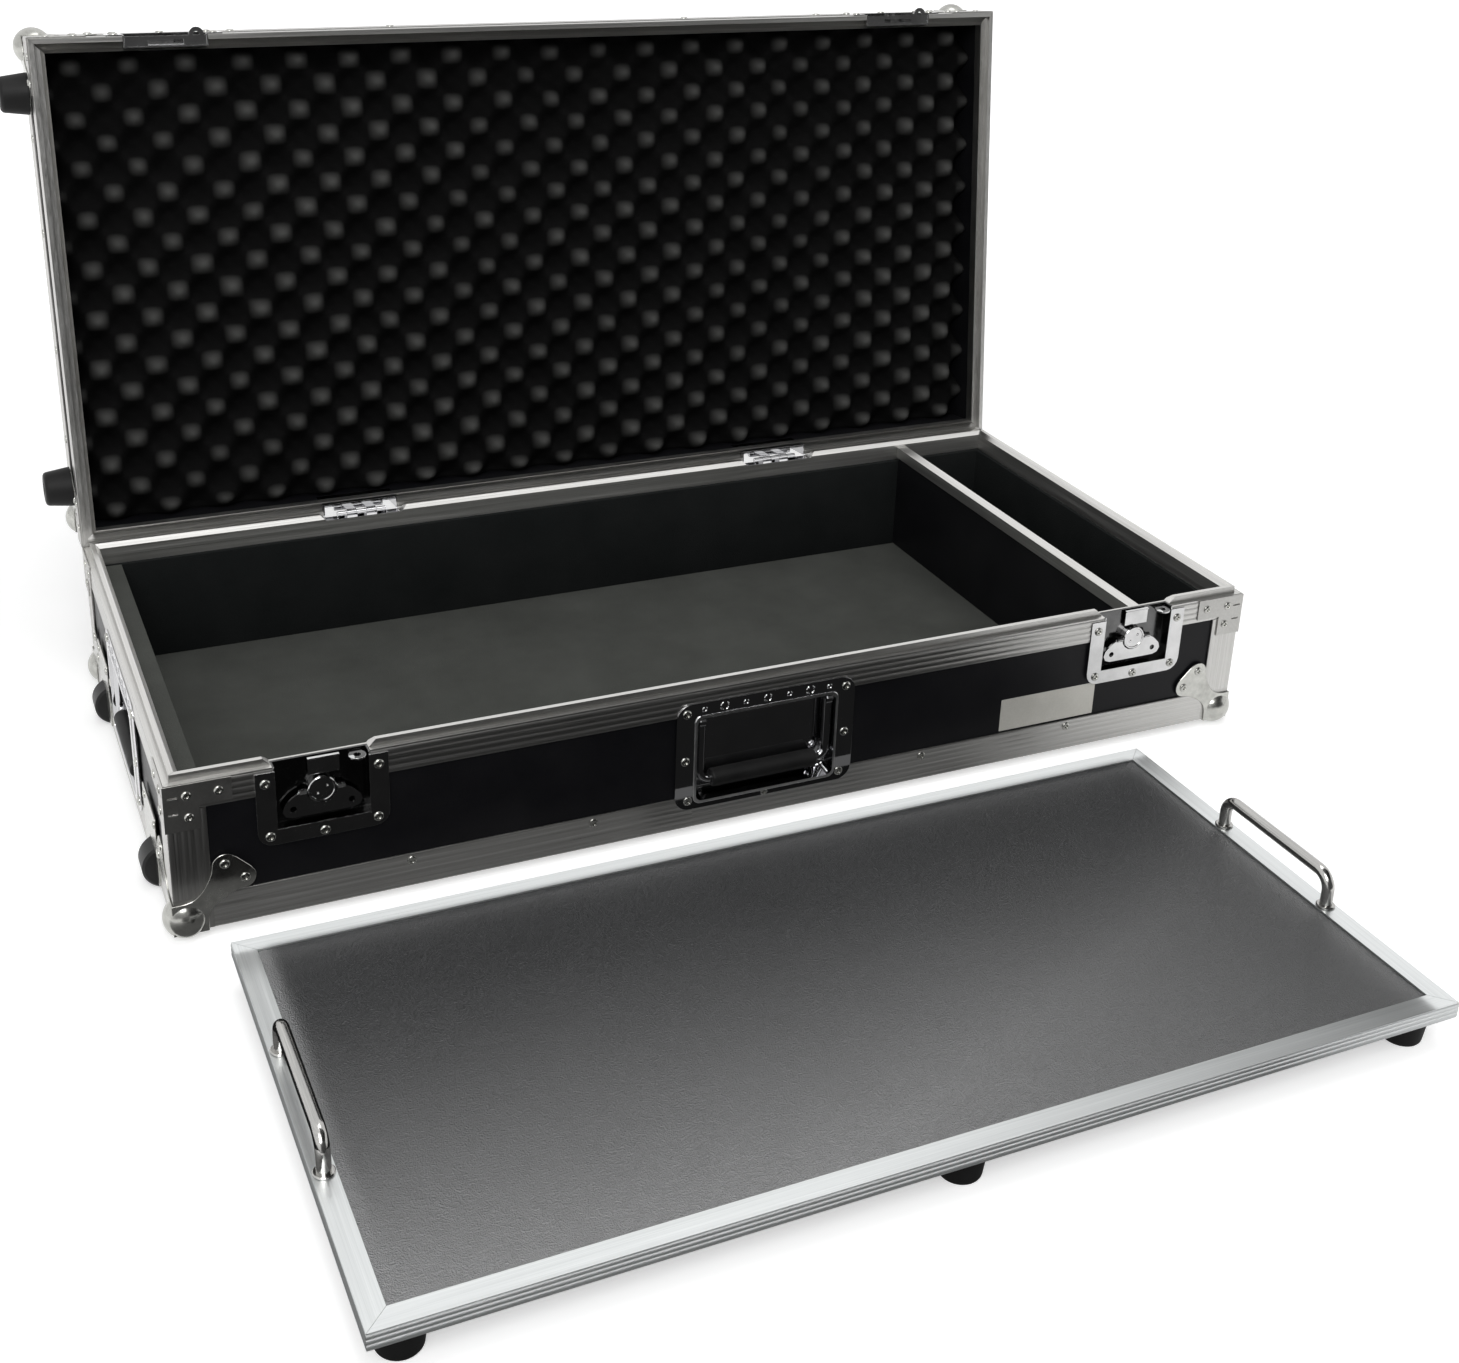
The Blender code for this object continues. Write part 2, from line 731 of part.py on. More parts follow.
def lid_catch(name, middle, lid):
    ceiling = parting_level + catch_ceiling
    low_edge = parting_level + fit_gap
    flange_low = parting_level + catch_flange_low
    dish = open_dish(
        name, ceiling, low_edge, latch_flange_half_width, parting_level + catch_flange_high, flange_low
    )
    plate_base = parting_level + catch_plate_rise
    side = dish_half_width + plate_thickness / 2
    back = dish_depth + plate_thickness / 2
    strike = box("strike", (-side, fit_gap, plate_base), (side, back, plate_base + plate_thickness))
    slot_low = (-catch_slot_half_width, catch_slot_near, plate_base - overrun)
    slot_high = (catch_slot_half_width, catch_slot_far, plate_base + plate_thickness + overrun)
    cut(strike, box("slot", slot_low, slot_high))
    join(dish, strike, eye(0, parting_level + lid_eye_rise))
    placed(dish, wall_frames["front"] @ Matrix.Translation((middle, 0, 0)))
    finished(dish, "chrome", lid)


# Latch mechanism, drawn in the front wall's frame round the knob's centre

def latch_spindle(name, place, case):
    knob = prism(name, circle(knob_radius), knob_face_inset, dish_depth - fit_gap)
    reach = wing_knuckle_end - fit_gap
    pin = prism("pin", circle(wing_pin_radius, (wing_axis_inset, 0), small_sides), -reach, reach, axis=0)
    join(knob, pin)
    placed(knob, place)
    return finished(knob, "chrome", case, place.translation)


def latch_wing(name, place, spindle):
    half = [(share * wing_half_width, drop * wing_half_width) for share, drop in wing_shares]
    cutout = arc((0, 0), wing_cutout_radius, 2 * math.pi, math.pi, 2 * arc_steps)
    outline = cutout + [(-side, drop) for side, drop in half] + half[::-1]
    near = wing_axis_inset - wing_thickness / 2
    wing = prism(name, outline, near, near + wing_thickness)
    for side in (-1, 1):
        start, end = sorted((side * wing_cutout_radius, side * wing_knuckle_end))
        tube = circle(wing_knuckle_radius, (wing_axis_inset, 0), small_sides)
        join(wing, prism("knuckle", tube, start, end, axis=0))
        bore = circle(wing_pin_radius + fit_gap, (wing_axis_inset, 0), small_sides)
        cut(wing, prism("bore", bore, start - overrun, end + overrun, axis=0))
        hole = circle(wing_hole_radius, (side * wing_hole_offset, -wing_hole_drop), small_sides)
        cut(wing, prism("hole", hole, near - overrun, near + wing_thickness + overrun))
    placed(wing, place)
    finished(wing, "chrome", spindle, place @ Vector((0, wing_axis_inset, 0)))


def latch_hook(name, place, case):
    back = hook_face_inset + wing_thickness
    hook = box(name, (-hook_left, hook_face_inset, hook_bottom), (hook_right, back, hook_top))
    lip_low = (-hook_left, hook_lip_inset, hook_top - hook_lip_height)
    lip = box("lip", lip_low, (hook_right, hook_face_inset + skin, hook_top))
    middle = (hook_right - hook_left) / 2
    foot = box(
        "foot",
        (middle - hook_foot_half_width, hook_face_inset + skin, hook_bottom),
        (middle + hook_foot_half_width, dish_depth - fit_gap, hook_bottom + hook_foot_height),
    )
    join(hook, lip, foot)
    placed(hook, place)
    finished(hook, "chrome", case, place.translation)


def latches(case, lid):
    for side, side_name in ((-1, "left"), (1, "right")):
        middle = side * latch_offset
        place = wall_frames["front"] @ Matrix.Translation((middle, 0, knob_level))
        latch_dish(f"{side_name}_latch_dish", middle, case)
        spindle = latch_spindle(f"{side_name}_latch_spindle", place, case)
        latch_wing(f"{side_name}_latch_wing", place, spindle)
        latch_hook(f"{side_name}_latch_hook", place, case)
        lid_catch(f"{side_name}_lid_catch", middle, lid)


# Stop hinges, drawn in the back wall's frame round zero along the wall

def hinge_leaf(name, floor, mouth, flange_far, flange_near, owns_first):
    way = 1 if mouth > floor else -1
    leaf = open_dish(name, floor, mouth, hinge_flange_half_width, flange_far, flange_near)
    run = hinge_segments * hinge_segment / 2
    axis_spot = (-hinge_axis_proud, hinge_level)
    block_far = mouth - way * hinge_block_near
    block = sorted((block_far, block_far - way * hinge_block_height))
    inner = dish_depth + plate_thickness / 2
    join(leaf, box("block", (-run, hinge_tab_near, block[0]), (run, inner, block[1])))
    segments = range(0 if owns_first else 1, hinge_segments, 2)
    for segment in segments:
        start = -run + segment * hinge_segment + fit_gap / 2
        end = -run + (segment + 1) * hinge_segment - fit_gap / 2
        tab = sorted((block_far - way * hinge_block_height / 2, hinge_level))
        join(leaf, box("tab", (start, hinge_tab_near, tab[0]), (end, hinge_tab_far, tab[1])))
        join(leaf, prism("knuckle", circle(hinge_knuckle_radius, axis_spot), start, end, axis=0))
    return leaf, run, axis_spot


def hinges(case, lid):
    for side, side_name in ((-1, "left"), (1, "right")):
        place = wall_frames["back"] @ Matrix.Translation((side * hinge_offset, 0, 0))
        base_mouth = ledge_level - hinge_mouth_play
        base_leaf, run, axis_spot = hinge_leaf(
            f"{side_name}_hinge_base_leaf",
            ledge_level - hinge_floor_drop,
            base_mouth,
            ledge_level - hinge_flange_height,
            ledge_level - latch_flange_top_drop,
            True,
        )
        pin = circle(hinge_pin_radius, axis_spot, small_sides)
        join(base_leaf, prism("pin", pin, -run + fit_gap, run - fit_gap, axis=0))
        for end in (-1, 1):
            start, stop = sorted((end * (run + fit_gap), end * (dish_half_width + plate_thickness / 2)))
            low = (start, hinge_tab_near, base_mouth - hinge_block_near)
            join(base_leaf, box("shoulder", low, (stop, dish_depth + plate_thickness / 2, base_mouth)))
        placed(base_leaf, place)
        finished(base_leaf, "chrome", case)

        lid_leaf, run, axis_spot = hinge_leaf(
            f"{side_name}_hinge_lid_leaf",
            parting_level + catch_ceiling,
            parting_level + hinge_mouth_play,
            parting_level + catch_flange_high,
            parting_level + catch_flange_low,
            False,
        )
        bore = circle(hinge_pin_radius + fit_gap, axis_spot, small_sides)
        cut(lid_leaf, prism("bore", bore, -run, run, axis=0))
        placed(lid_leaf, place)
        finished(lid_leaf, "chrome", lid)


# Recessed handles

def handle_dish(name, wall, case):
    flange = rounded_rectangle(
        (-handle_flange_half_width, edging_base + handle_flange_bottom),
        (handle_flange_half_width, edging_base + handle_flange_top),
        dish_corner,
    )
    dish = prism(name, flange, plate_inset, -fit_gap)
    side = handle_half_width + plate_thickness
    floor, ceiling = edging_base + handle_floor, edging_base + handle_ceiling
    tub_low = (-side, plate_inset / 2, floor - plate_thickness)
    join(dish, box("tub", tub_low, (side, handle_depth + plate_thickness, ceiling + plate_thickness)))
    hollow_low = (-handle_half_width, -2 * overrun, floor)
    cut(dish, box("hollow", hollow_low, (handle_half_width, handle_depth, ceiling)))
    pivot = (bail_inset, edging_base + bail_pivot_height)
    hole = circle(bail_pin_radius + fit_gap, pivot, small_sides)
    cut(dish, prism("pin_hole", hole, -side - fit_gap, side + fit_gap, axis=0))
    placed(dish, wall_frames[wall])
    finished(dish, "chrome", case)


def handle_bail(name, wall, case):
    pivot = edging_base + bail_pivot_height
    bar = edging_base + bail_grip_height
    pin_end = handle_half_width + plate_thickness - fit_gap
    leg = bail_half_width
    half = [(pin_end, pivot), (handle_half_width - fit_gap, pivot), (leg + bail_radius / 2, pivot)]
    radii = [bail_pin_radius, bail_pin_radius, bail_radius]
    bend = arc((leg - bail_bend, bar + bail_bend), bail_bend, 0, -math.pi / 2, arc_steps)
    half += [(leg, pivot - bail_radius), *bend]
    radii += [bail_radius] * (1 + len(bend))
    flat = half + [(-side, level) for side, level in reversed(half)]
    route = [(side, bail_inset, level) for side, level in flat]
    bail = rod(name, route, radii + radii[::-1])
    placed(bail, wall_frames[wall])
    place = wall_frames[wall] @ Vector((0, bail_inset, pivot))
    return finished(bail, "chrome", case, place)


def handle_grip(name, wall, bail):
    bar = edging_base + bail_grip_height
    edge = grip_radius / 4
    end = grip_half_length
    profile = ((grip_radius - edge, -end), (grip_radius, edge - end), (grip_radius, end - edge))
    profile += ((grip_radius - edge, end),)
    grip = turned(name, profile, 0, (0, bail_inset, bar))
    bore = circle(bail_radius + fit_gap, (bail_inset, bar), small_sides)
    cut(grip, prism("bore", bore, -end - overrun, end + overrun, axis=0))
    placed(grip, wall_frames[wall])
    place = wall_frames[wall] @ Vector((0, bail_inset, edging_base + bail_pivot_height))
    finished(grip, "black_rubber", bail, place)


def handles(case):
    for wall, prefix in (("front", "front_handle"), ("left", "end_handle")):
        handle_dish(f"{prefix}_dish", wall, case)
        bail = handle_bail(f"{prefix}_bail", wall, case)
        handle_grip(f"{prefix}_grip", wall, bail)


# Wheels in the left end

def wheel_cup(name, side, case):
    middle = side * wheel_offset
    outer_half = cup_half_width + plate_thickness
    drum_outline = circle(cup_radius + plate_thickness, (wheel_x, wheel_level), 2 * round_sides)
    drum = prism(name, drum_outline, middle - outer_half, middle + outer_half)
    reach = 2 * cup_radius
    face = -case_width / 2
    low = (wheel_x - reach, middle - reach, -reach)
    cut(drum, box("outside", low, (face + plate_inset / 2, middle + reach, 2 * reach)))
    cut(drum, box("below", low, (wheel_x + reach, middle + reach, edging_base)))
    ends = sorted((middle - side * cup_flange_inner, middle + side * cup_flange_outer))
    flange = rounded_rectangle(
        (ends[0], edging_base + cup_flange_bottom), (ends[1], edging_base + cup_flange_top), dish_corner / 2
    )
    join(drum, prism("flange", flange, face + plate_inset, face - fit_gap, axis=0))
    hollow = circle(cup_radius, (wheel_x, wheel_level), 2 * round_sides)
    cut(drum, prism("hollow", hollow, middle - cup_half_width, middle + cup_half_width))
    axle = circle(axle_radius, (wheel_x, wheel_level), small_sides)
    end = cup_half_width + plate_thickness / 2
    join(drum, prism("axle", axle, middle - end, middle + end))
    finished(drum, "zinc_steel", case)


def wheel(name, side, case):
    middle = side * wheel_offset
    end = wheel_width / 2
    profile = (
        (wheel_radius - wheel_edge, -end),
        (wheel_radius, wheel_edge - end),
        (wheel_radius, end - wheel_edge),
        (wheel_radius - wheel_edge, end),
    )
    centre = (wheel_x, middle, wheel_level)
    tyre = turned(name, profile, 1, centre, 2 * round_sides)
    bore = circle(axle_radius + fit_gap, (wheel_x, wheel_level), small_sides)
    cut(tyre, prism("bore", bore, middle - end - overrun, middle + end + overrun))
    finished(tyre, "black_plastic", case, centre)


def wheels(case):
    for side, side_name in ((-1, "front"), (1, "back")):
        wheel_cup(f"{side_name}_wheel_cup", side, case)
        wheel(f"{side_name}_wheel", side, case)


# Lining, foams and divider

def floor_foam(case):
    left = -case_width / 2 + wall_inner + fit_gap
    right = case_width / 2 - lining_inner - fit_gap
    side = case_depth / 2 - lining_inner - fit_gap
    foam = box("floor_and_end_foam", (left, -side, wall_base), (right, side, mat_top))
    end = box("end_foam", (left, -side, wall_base), (left + end_foam_thickness, side, lining_top))
    join(foam, end)
    cut(foam, wheel_hole(-1), wheel_hole(1), handle_hole("left"))
    finished(foam, "grey_foam", case)


def wall_lining(case):
    left = -case_width / 2 + wall_inner + fit_gap
    outer_x, inner_x = case_width / 2 - lining_outer, case_width / 2 - lining_inner
    outer_y, inner_y = case_depth / 2 - lining_outer, case_depth / 2 - lining_inner
    outline = (
        (left, -outer_y), (outer_x, -outer_y), (outer_x, outer_y), (left, outer_y),
        (left, inner_y), (inner_x, inner_y), (inner_x, -inner_y), (left, -inner_y),
    )
    lining = prism("wall_lining", outline, wall_base, lining_top, axis=2)
    cut(lining, handle_hole("front"))
    finished(lining, "black_foam", case)


def divider(case):
    side = case_depth / 2 - lining_inner - fit_gap
    cap_top = ledge_level - fit_gap
    panel_top = cap_top - divider_cap_thickness - fit_gap
    half = panel_thickness / 2
    panel = box(
        "divider_panel",
        (divider_offset - half, -side, mat_top + fit_gap),
        (divider_offset + half, side, panel_top),
    )
    finished(panel, "black_laminate", case)
    slot = half + fit_gap
    outer = slot + divider_cap_thickness
    cap_base = cap_top - divider_cap_leg
    outline = (
        (-outer, cap_base), (-outer, cap_top), (outer, cap_top), (outer, cap_base),
        (slot, cap_base), (slot, cap_top - divider_cap_thickness),
        (-slot, cap_top - divider_cap_thickness), (-slot, cap_base),
    )
    reach = case_depth / 2 - rim_width - fit_gap
    outline = [(divider_offset + across, level) for across, level in outline]
    cap = prism("divider_cap", outline, -reach, reach)
    finished(cap, "satin_aluminium", case)


def lid_foam(lid):
    # Egg-crate foam: peaks and valleys alternate on a square grid, like a chessboard
    width = case_width - 2 * (wall_inner + fit_gap)
    depth = case_depth - 2 * (wall_inner + fit_gap)
    columns = round(width / foam_pitch)
    rows = round(depth / foam_pitch)
    back = lid_wall_top
    shape = bmesh.new()
    bmesh.ops.create_grid(shape, x_segments=columns, y_segments=rows, size=1 / 2)
    bmesh.ops.scale(shape, vec=(width, depth, 1), verts=shape.verts)
    for spot in shape.verts:
        column = round((spot.co.x / width + 1 / 2) * columns)
        row = round((spot.co.y / depth + 1 / 2) * rows)
        peak = (column + row) % 2 == 0
        spot.co.z = back - (foam_peak_depth if peak else foam_valley_depth)
    drawn = bmesh.ops.extrude_face_region(shape, geom=shape.faces[:])["geom"]
    for item in drawn:
        if isinstance(item, bmesh.types.BMVert):
            item.co.z = back
    finished(object_from("lid_foam", shape), "black_foam", lid)


# Feet and pedalboard

def lid_feet(lid):
    profile = ((lid_foot_tip_radius, left_reach), (lid_foot_radius, lid_foot_seat))
    for side, side_name in ((-1, "front"), (1, "back")):
        centre = (0, side * lid_foot_offset, parting_level + lid_foot_rise)
        foot = turned(f"lid_{side_name}_end_foot", profile, 0, centre)
        finished(foot, "black_rubber", lid)


def pedalboard(board):
    low = board_foot_height + fit_gap
    high = low + board_edging_height
    profile = (
        (0, 0), (0, board_edging_height), (board_edging_leg, board_edging_height),
        (board_edging_leg, board_edging_height - skin), (skin, board_edging_height - skin),
        (skin, skin), (board_edging_leg, skin), (board_edging_leg, 0),
    )
    edging = mitred_ring("board_edging", profile, board_width, board_depth, low)
    finished(edging, "satin_aluminium", board)
    panel_x, panel_y = board_width / 2 - panel_inset, board_depth / 2 - panel_inset
    panel_low = (-panel_x, -panel_y, low + panel_inset)
    panel = box("board_panel", panel_low, (panel_x, panel_y, high - panel_inset))
    finished(panel, "textured_laminate", board)
    for side, side_name in ((-1, "left"), (1, "right")):
        board_handle(f"board_{side_name}_handle", side, high + fit_gap, board)
    foot_x, foot_y = board_width / 2 - board_foot_inset, board_depth / 2 - board_foot_inset
    profile = ((board_foot_tip_radius, 0), (board_foot_radius, board_foot_height))
    for side_y, depth_name in ((-1, "front"), (1, "back")):
        for side_x, side_name in ((-1, "left"), (0, "middle"), (1, "right")):
            name = f"board_foot_{depth_name}_{side_name}"
            foot = turned(name, profile, 2, (side_x * foot_x, side_y * foot_y, 0), small_sides)
            finished(foot, "black_rubber", board)


def board_handle(name, side, base, board):
    across = side * (board_width / 2 - board_edging_leg / 2)
    bar = base + board_handle_height - board_handle_radius
    span = board_handle_half_span
    turn = (span - board_handle_bend, bar - board_handle_bend)
    bend = arc(turn, board_handle_bend, 0, math.pi / 2, arc_steps)
    half = [(span, base), *bend]
    flat = half + [(-along, level) for along, level in reversed(half)]
    route = [(across, along, level) for along, level in flat]
    handle = rod(name, route, [board_handle_radius] * len(route))
    finished(handle, "stainless", board)


def empty(name, parent, place, turn=0, drawn_origin=(0, 0, 0)):
    frame = bpy.data.objects.new(name, None)
    bpy.context.scene.collection.objects.link(frame)
    frame.parent = parent
    frame.location = place
    frame.rotation_euler = (turn, 0, 0)
    frame["drawn_origin"] = drawn_origin
    return frame


def main():
    clear_scene()
    case = empty("case_frame", None, frame_shift)
    hinge = (0, hinge_y, hinge_level)
    lid = empty("lid_hinge", case, hinge, -lid_open_angle, hinge)
    board = empty("board_frame", case, (-board_left_of_case, -board_ahead_of_case, 0))
    base_panels(case)
    base_edging(case)
    base_rim(case)
    ball_corners(case, "base", edging_base, 1)
    handles(case)
    wheels(case)
    latches(case, lid)
    hinges(case, lid)
    floor_foam(case)
    wall_lining(case)
    divider(case)
    lid_panels(lid)
    lid_edging(lid)
    lid_rim(lid)
    ball_corners(lid, "lid", lid_top, -1)
    lid_foam(lid)
    lid_feet(lid)
    pedalboard(board)


main()
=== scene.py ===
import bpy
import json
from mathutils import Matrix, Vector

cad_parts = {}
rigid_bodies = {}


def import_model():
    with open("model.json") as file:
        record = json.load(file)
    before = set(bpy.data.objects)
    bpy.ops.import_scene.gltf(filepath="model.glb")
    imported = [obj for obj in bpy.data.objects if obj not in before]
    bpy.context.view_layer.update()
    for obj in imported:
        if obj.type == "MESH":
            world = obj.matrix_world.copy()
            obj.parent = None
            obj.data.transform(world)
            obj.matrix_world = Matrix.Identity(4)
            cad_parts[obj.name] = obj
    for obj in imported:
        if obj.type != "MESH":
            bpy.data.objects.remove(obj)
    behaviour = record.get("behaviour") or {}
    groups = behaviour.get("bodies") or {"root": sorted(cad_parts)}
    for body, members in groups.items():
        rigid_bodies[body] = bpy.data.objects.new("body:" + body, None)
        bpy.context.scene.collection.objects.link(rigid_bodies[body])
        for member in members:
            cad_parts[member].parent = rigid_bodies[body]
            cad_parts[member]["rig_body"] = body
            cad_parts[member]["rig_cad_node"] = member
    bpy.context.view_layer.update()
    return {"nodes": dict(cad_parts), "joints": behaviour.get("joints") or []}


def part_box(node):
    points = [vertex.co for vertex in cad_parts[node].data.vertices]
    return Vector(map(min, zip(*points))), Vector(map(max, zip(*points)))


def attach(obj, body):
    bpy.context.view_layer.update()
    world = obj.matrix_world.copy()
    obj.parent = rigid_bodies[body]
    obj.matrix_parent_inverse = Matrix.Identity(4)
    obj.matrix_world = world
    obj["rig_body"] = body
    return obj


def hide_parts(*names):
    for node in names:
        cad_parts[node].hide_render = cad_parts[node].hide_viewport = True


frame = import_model()

import json
import math

import bpy
from mathutils import Matrix, Vector, noise

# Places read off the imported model. The case is drawn shut, then the lid's pieces turn open with it.
rimLow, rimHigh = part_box("base_rim")
caseWidth = rimHigh.x - rimLow.x
caseDepth = rimHigh.y - rimLow.y
case = {
    "tongue": 0.006,  # height of the closing tongue
    "foot": 0.008,  # from the floor to the edging
    "leg": 0.030,  # leg of the angle edging
    "skirt": 0.023,  # outer skirt of the closing extrusions
    "gap": 0.0003,
    "plate": 0.0012,  # pressed steel over the edging
    "panelInset": 0.0018,  # from the extrusions' faces back to the panels
    "lidHeight": 0.0835,
    "latchOffset": 0.382,
    "hingeOffset": 0.232,
}
ledge = rimHigh.z - case["tongue"]
parting = ledge + case["gap"]
lidTop = parting + case["lidHeight"]
plateFace = case["gap"] + case["plate"]
swing = next(joint for joint in frame["joints"] if joint["name"] == "lid_swing")
hinge = Vector(swing["pos_m"])
openAngle = math.radians(swing["range_deg"][1])
caseFrame = Matrix.Translation(((rimLow.x + rimHigh.x) / 2, (rimLow.y + rimHigh.y) / 2, 0))
lidTurn = Matrix.Translation(hinge) @ Matrix.Rotation(-openAngle, 4, "X") @ Matrix.Translation(-hinge)
walls = {
    "front": (0, caseDepth, caseWidth),
    "right": (90, caseWidth, caseDepth),
    "back": (180, caseDepth, caseWidth),
    "left": (-90, caseWidth, caseDepth),
}


def wallFrame(wall, onLid=False):
    # X along the wall, Y inward from its outer face, Z up
    turn, across, _ = walls[wall]
    place = caseFrame @ Matrix.Rotation(math.radians(turn), 4, "Z") @ Matrix.Translation((0, -across / 2, 0))
    return lidTurn @ place if onLid else place


# Handling of objects

def deselect():
    if bpy.context.object and bpy.context.object.mode != "OBJECT":
        bpy.ops.object.mode_set(mode="OBJECT")
    bpy.ops.object.select_all(action="DESELECT")


def pick(*pieces):
    deselect()
    for piece in pieces:
        piece.select_set(True)
    bpy.context.view_layer.objects.active = pieces[0]


def editOn(piece, mode="FACE", everything=False):
    pick(piece)
    bpy.ops.object.mode_set(mode="EDIT")
    bpy.ops.mesh.select_mode(type=mode)
    bpy.ops.mesh.select_all(action="SELECT" if everything else "DESELECT")


def editOff():
    bpy.ops.object.mode_set(mode="OBJECT")


def applyModifiers(piece):
    pick(piece)
    for change in list(piece.modifiers):
        bpy.ops.object.modifier_apply(modifier=change.name)
    return piece


def bevelled(piece, width, segments=2, angle=30):
    change = piece.modifiers.new("roundedEdges", "BEVEL")
    change.width = width
    change.segments = segments
    change.limit_method = "ANGLE"
    change.angle_limit = math.radians(angle)
    change.use_clamp_overlap = True
    return applyModifiers(piece)


def combined(piece, operation, *others):
    for other in others:
        change = piece.modifiers.new("combine", "BOOLEAN")
        change.operation = operation
        change.solver = "EXACT"
        change.object = other
        applyModifiers(piece)
        bpy.data.objects.remove(other, do_unlink=True)
    return piece


def joined(name, pieces):
    pick(*pieces)
    if len(pieces) > 1:
        bpy.ops.object.join()
    whole = bpy.context.object
    whole.name = name
    return whole


def moved(piece, matrix):
    piece.data.transform(matrix)
    if matrix.determinant() < 0:
        editOn(piece, everything=True)
        bpy.ops.mesh.normals_make_consistent(inside=False)
        editOff()
    return piece


def copyOf(piece, name, matrix=None):
    twin = piece.copy()
    twin.data = piece.data.copy()
    twin.name = name
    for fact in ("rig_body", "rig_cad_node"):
        if fact in twin:
            del twin[fact]
    twin.parent = None
    twin.hide_render = twin.hide_viewport = False
    bpy.context.scene.collection.objects.link(twin)
    return moved(twin, matrix) if matrix else twin


def wholeFaces(piece):
    # Triangles that lie in one plane become one face
    editOn(piece, everything=True)
    bpy.ops.mesh.dissolve_limited(angle_limit=math.radians(0.4))
    bpy.ops.mesh.select_all(action="SELECT")
    bpy.ops.mesh.normals_make_consistent(inside=False)
    editOff()
    return piece


def copyOfNode(node, name, whole=True):
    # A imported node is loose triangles, so its copy is merged first
    twin = copyOf(frame["nodes"][node], name)
    editOn(twin, everything=True)
    bpy.ops.mesh.remove_doubles(threshold=0.00001)
    editOff()
    return wholeFaces(twin) if whole else twin


def finished(piece, body, material, nodes=(), smooth=35, even=True):
    piece.data.materials.clear()
    piece.data.materials.append(material)
    pick(piece)
    bpy.ops.object.shade_smooth_by_angle(angle=math.radians(smooth))
    if even:
        # flat faces keep their own normals, and the rounded edges take up the turn
        change = piece.modifiers.new("evenNormals", "WEIGHTED_NORMAL")
        change.keep_sharp = True
        change.weight = 90
        applyModifiers(piece)
    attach(piece, body)
    if nodes:
        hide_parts(*nodes)
    return piece


def softenedNode(node, body, material, width=0.0004, segments=2, smooth=35):
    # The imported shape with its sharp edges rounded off
    piece = bevelled(copyOfNode(node, f"{node}Finished"), width, segments)
    return finished(piece, body, material, [node], smooth)


def repaint(piece, material, test):
    # A second material for the faces whose middle passes the test
    piece.data.materials.append(material)
    for face in piece.data.polygons:
        if test(face.center):
            face.material_index = 1


# Shapes

def arc(centre, radius, start, end, steps):
    turns = [math.radians(start + (end - start) * step / steps) for step in range(steps + 1)]
    return [(centre[0] + radius * math.cos(t), centre[1] + radius * math.sin(t)) for t in turns]


def roundedOutline(low, high, radius, steps=8):
    outline = []
    corners = ((high[0], high[1], 0), (low[0], high[1], 90), (low[0], low[1], 180), (high[0], low[1], 270))
    for x, y, start in corners:
        inward = (x - radius if x == high[0] else x + radius, y - radius if y == high[1] else y + radius)
        outline += arc(inward, radius, start, start + 90, steps)
    return outline


def smoothOutline(points, steps=4):
    # A soft curve through the points of an open outline
    curve = []
    ends = [points[0], *points, points[-1]]
    for before, start, end, after in zip(ends, ends[1:], ends[2:], ends[3:]):
        for step in range(steps):
            t = step / steps
            spot = []
            for a, b, c, d in zip(before, start, end, after):
                spot.append(
                    b + (c - a) * t / 2 + (2 * a - 5 * b + 4 * c - d) * t * t / 2
                    + (3 * b - a - 3 * c + d) * t ** 3 / 2
                )
            curve.append(tuple(spot))
    return curve + [tuple(points[-1])]


def pointOn(axis, along, spot):
    point = list(spot)
    point.insert("xyz".index(axis), along)
    return Vector(point)


def plate(name, outline, start, end, axis="y"):
    # An outline drawn across the axis and extruded along it
    bpy.ops.mesh.primitive_circle_add(vertices=len(outline), fill_type="NGON")
    piece = bpy.context.object
    piece.name = name
    for corner, spot in zip(piece.data.vertices, outline):
        corner.co = pointOn(axis, start, spot)
    editOn(piece, everything=True)
    bpy.ops.mesh.extrude_region_move(TRANSFORM_OT_translate={"value": pointOn(axis, end - start, (0, 0))})
    bpy.ops.mesh.select_all(action="SELECT")
    bpy.ops.mesh.normals_make_consistent(inside=False)
    editOff()
    return piece


def spun(name, profile, sides, axis="z", centre=(0, 0, 0)):
    # A profile of (radius, along) points spun into a closed solid
    bpy.ops.mesh.primitive_circle_add(vertices=len(profile), fill_type="NOTHING")
    piece = bpy.context.object
    piece.name = name
    for corner, (radius, along) in zip(piece.data.vertices, profile):
        corner.co = (radius, 0, along)
    editOn(piece, "VERT", True)
    bpy.ops.mesh.spin(steps=sides, angle=2 * math.pi, center=(0, 0, 0), axis=(0, 0, 1), use_auto_merge=True)
    bpy.ops.mesh.select_all(action="SELECT")
    bpy.ops.mesh.remove_doubles(threshold=0.000005)
    bpy.ops.mesh.select_all(action="SELECT")
    bpy.ops.mesh.dissolve_degenerate(threshold=0.000005)
    bpy.ops.mesh.select_all(action="SELECT")
    bpy.ops.mesh.normals_make_consistent(inside=False)
    editOff()
    turn = {"z": Matrix(), "x": Matrix.Rotation(math.pi / 2, 4, "Y"), "y": Matrix.Rotation(-math.pi / 2, 4, "X")}
    return moved(piece, Matrix.Translation(centre) @ turn[axis])


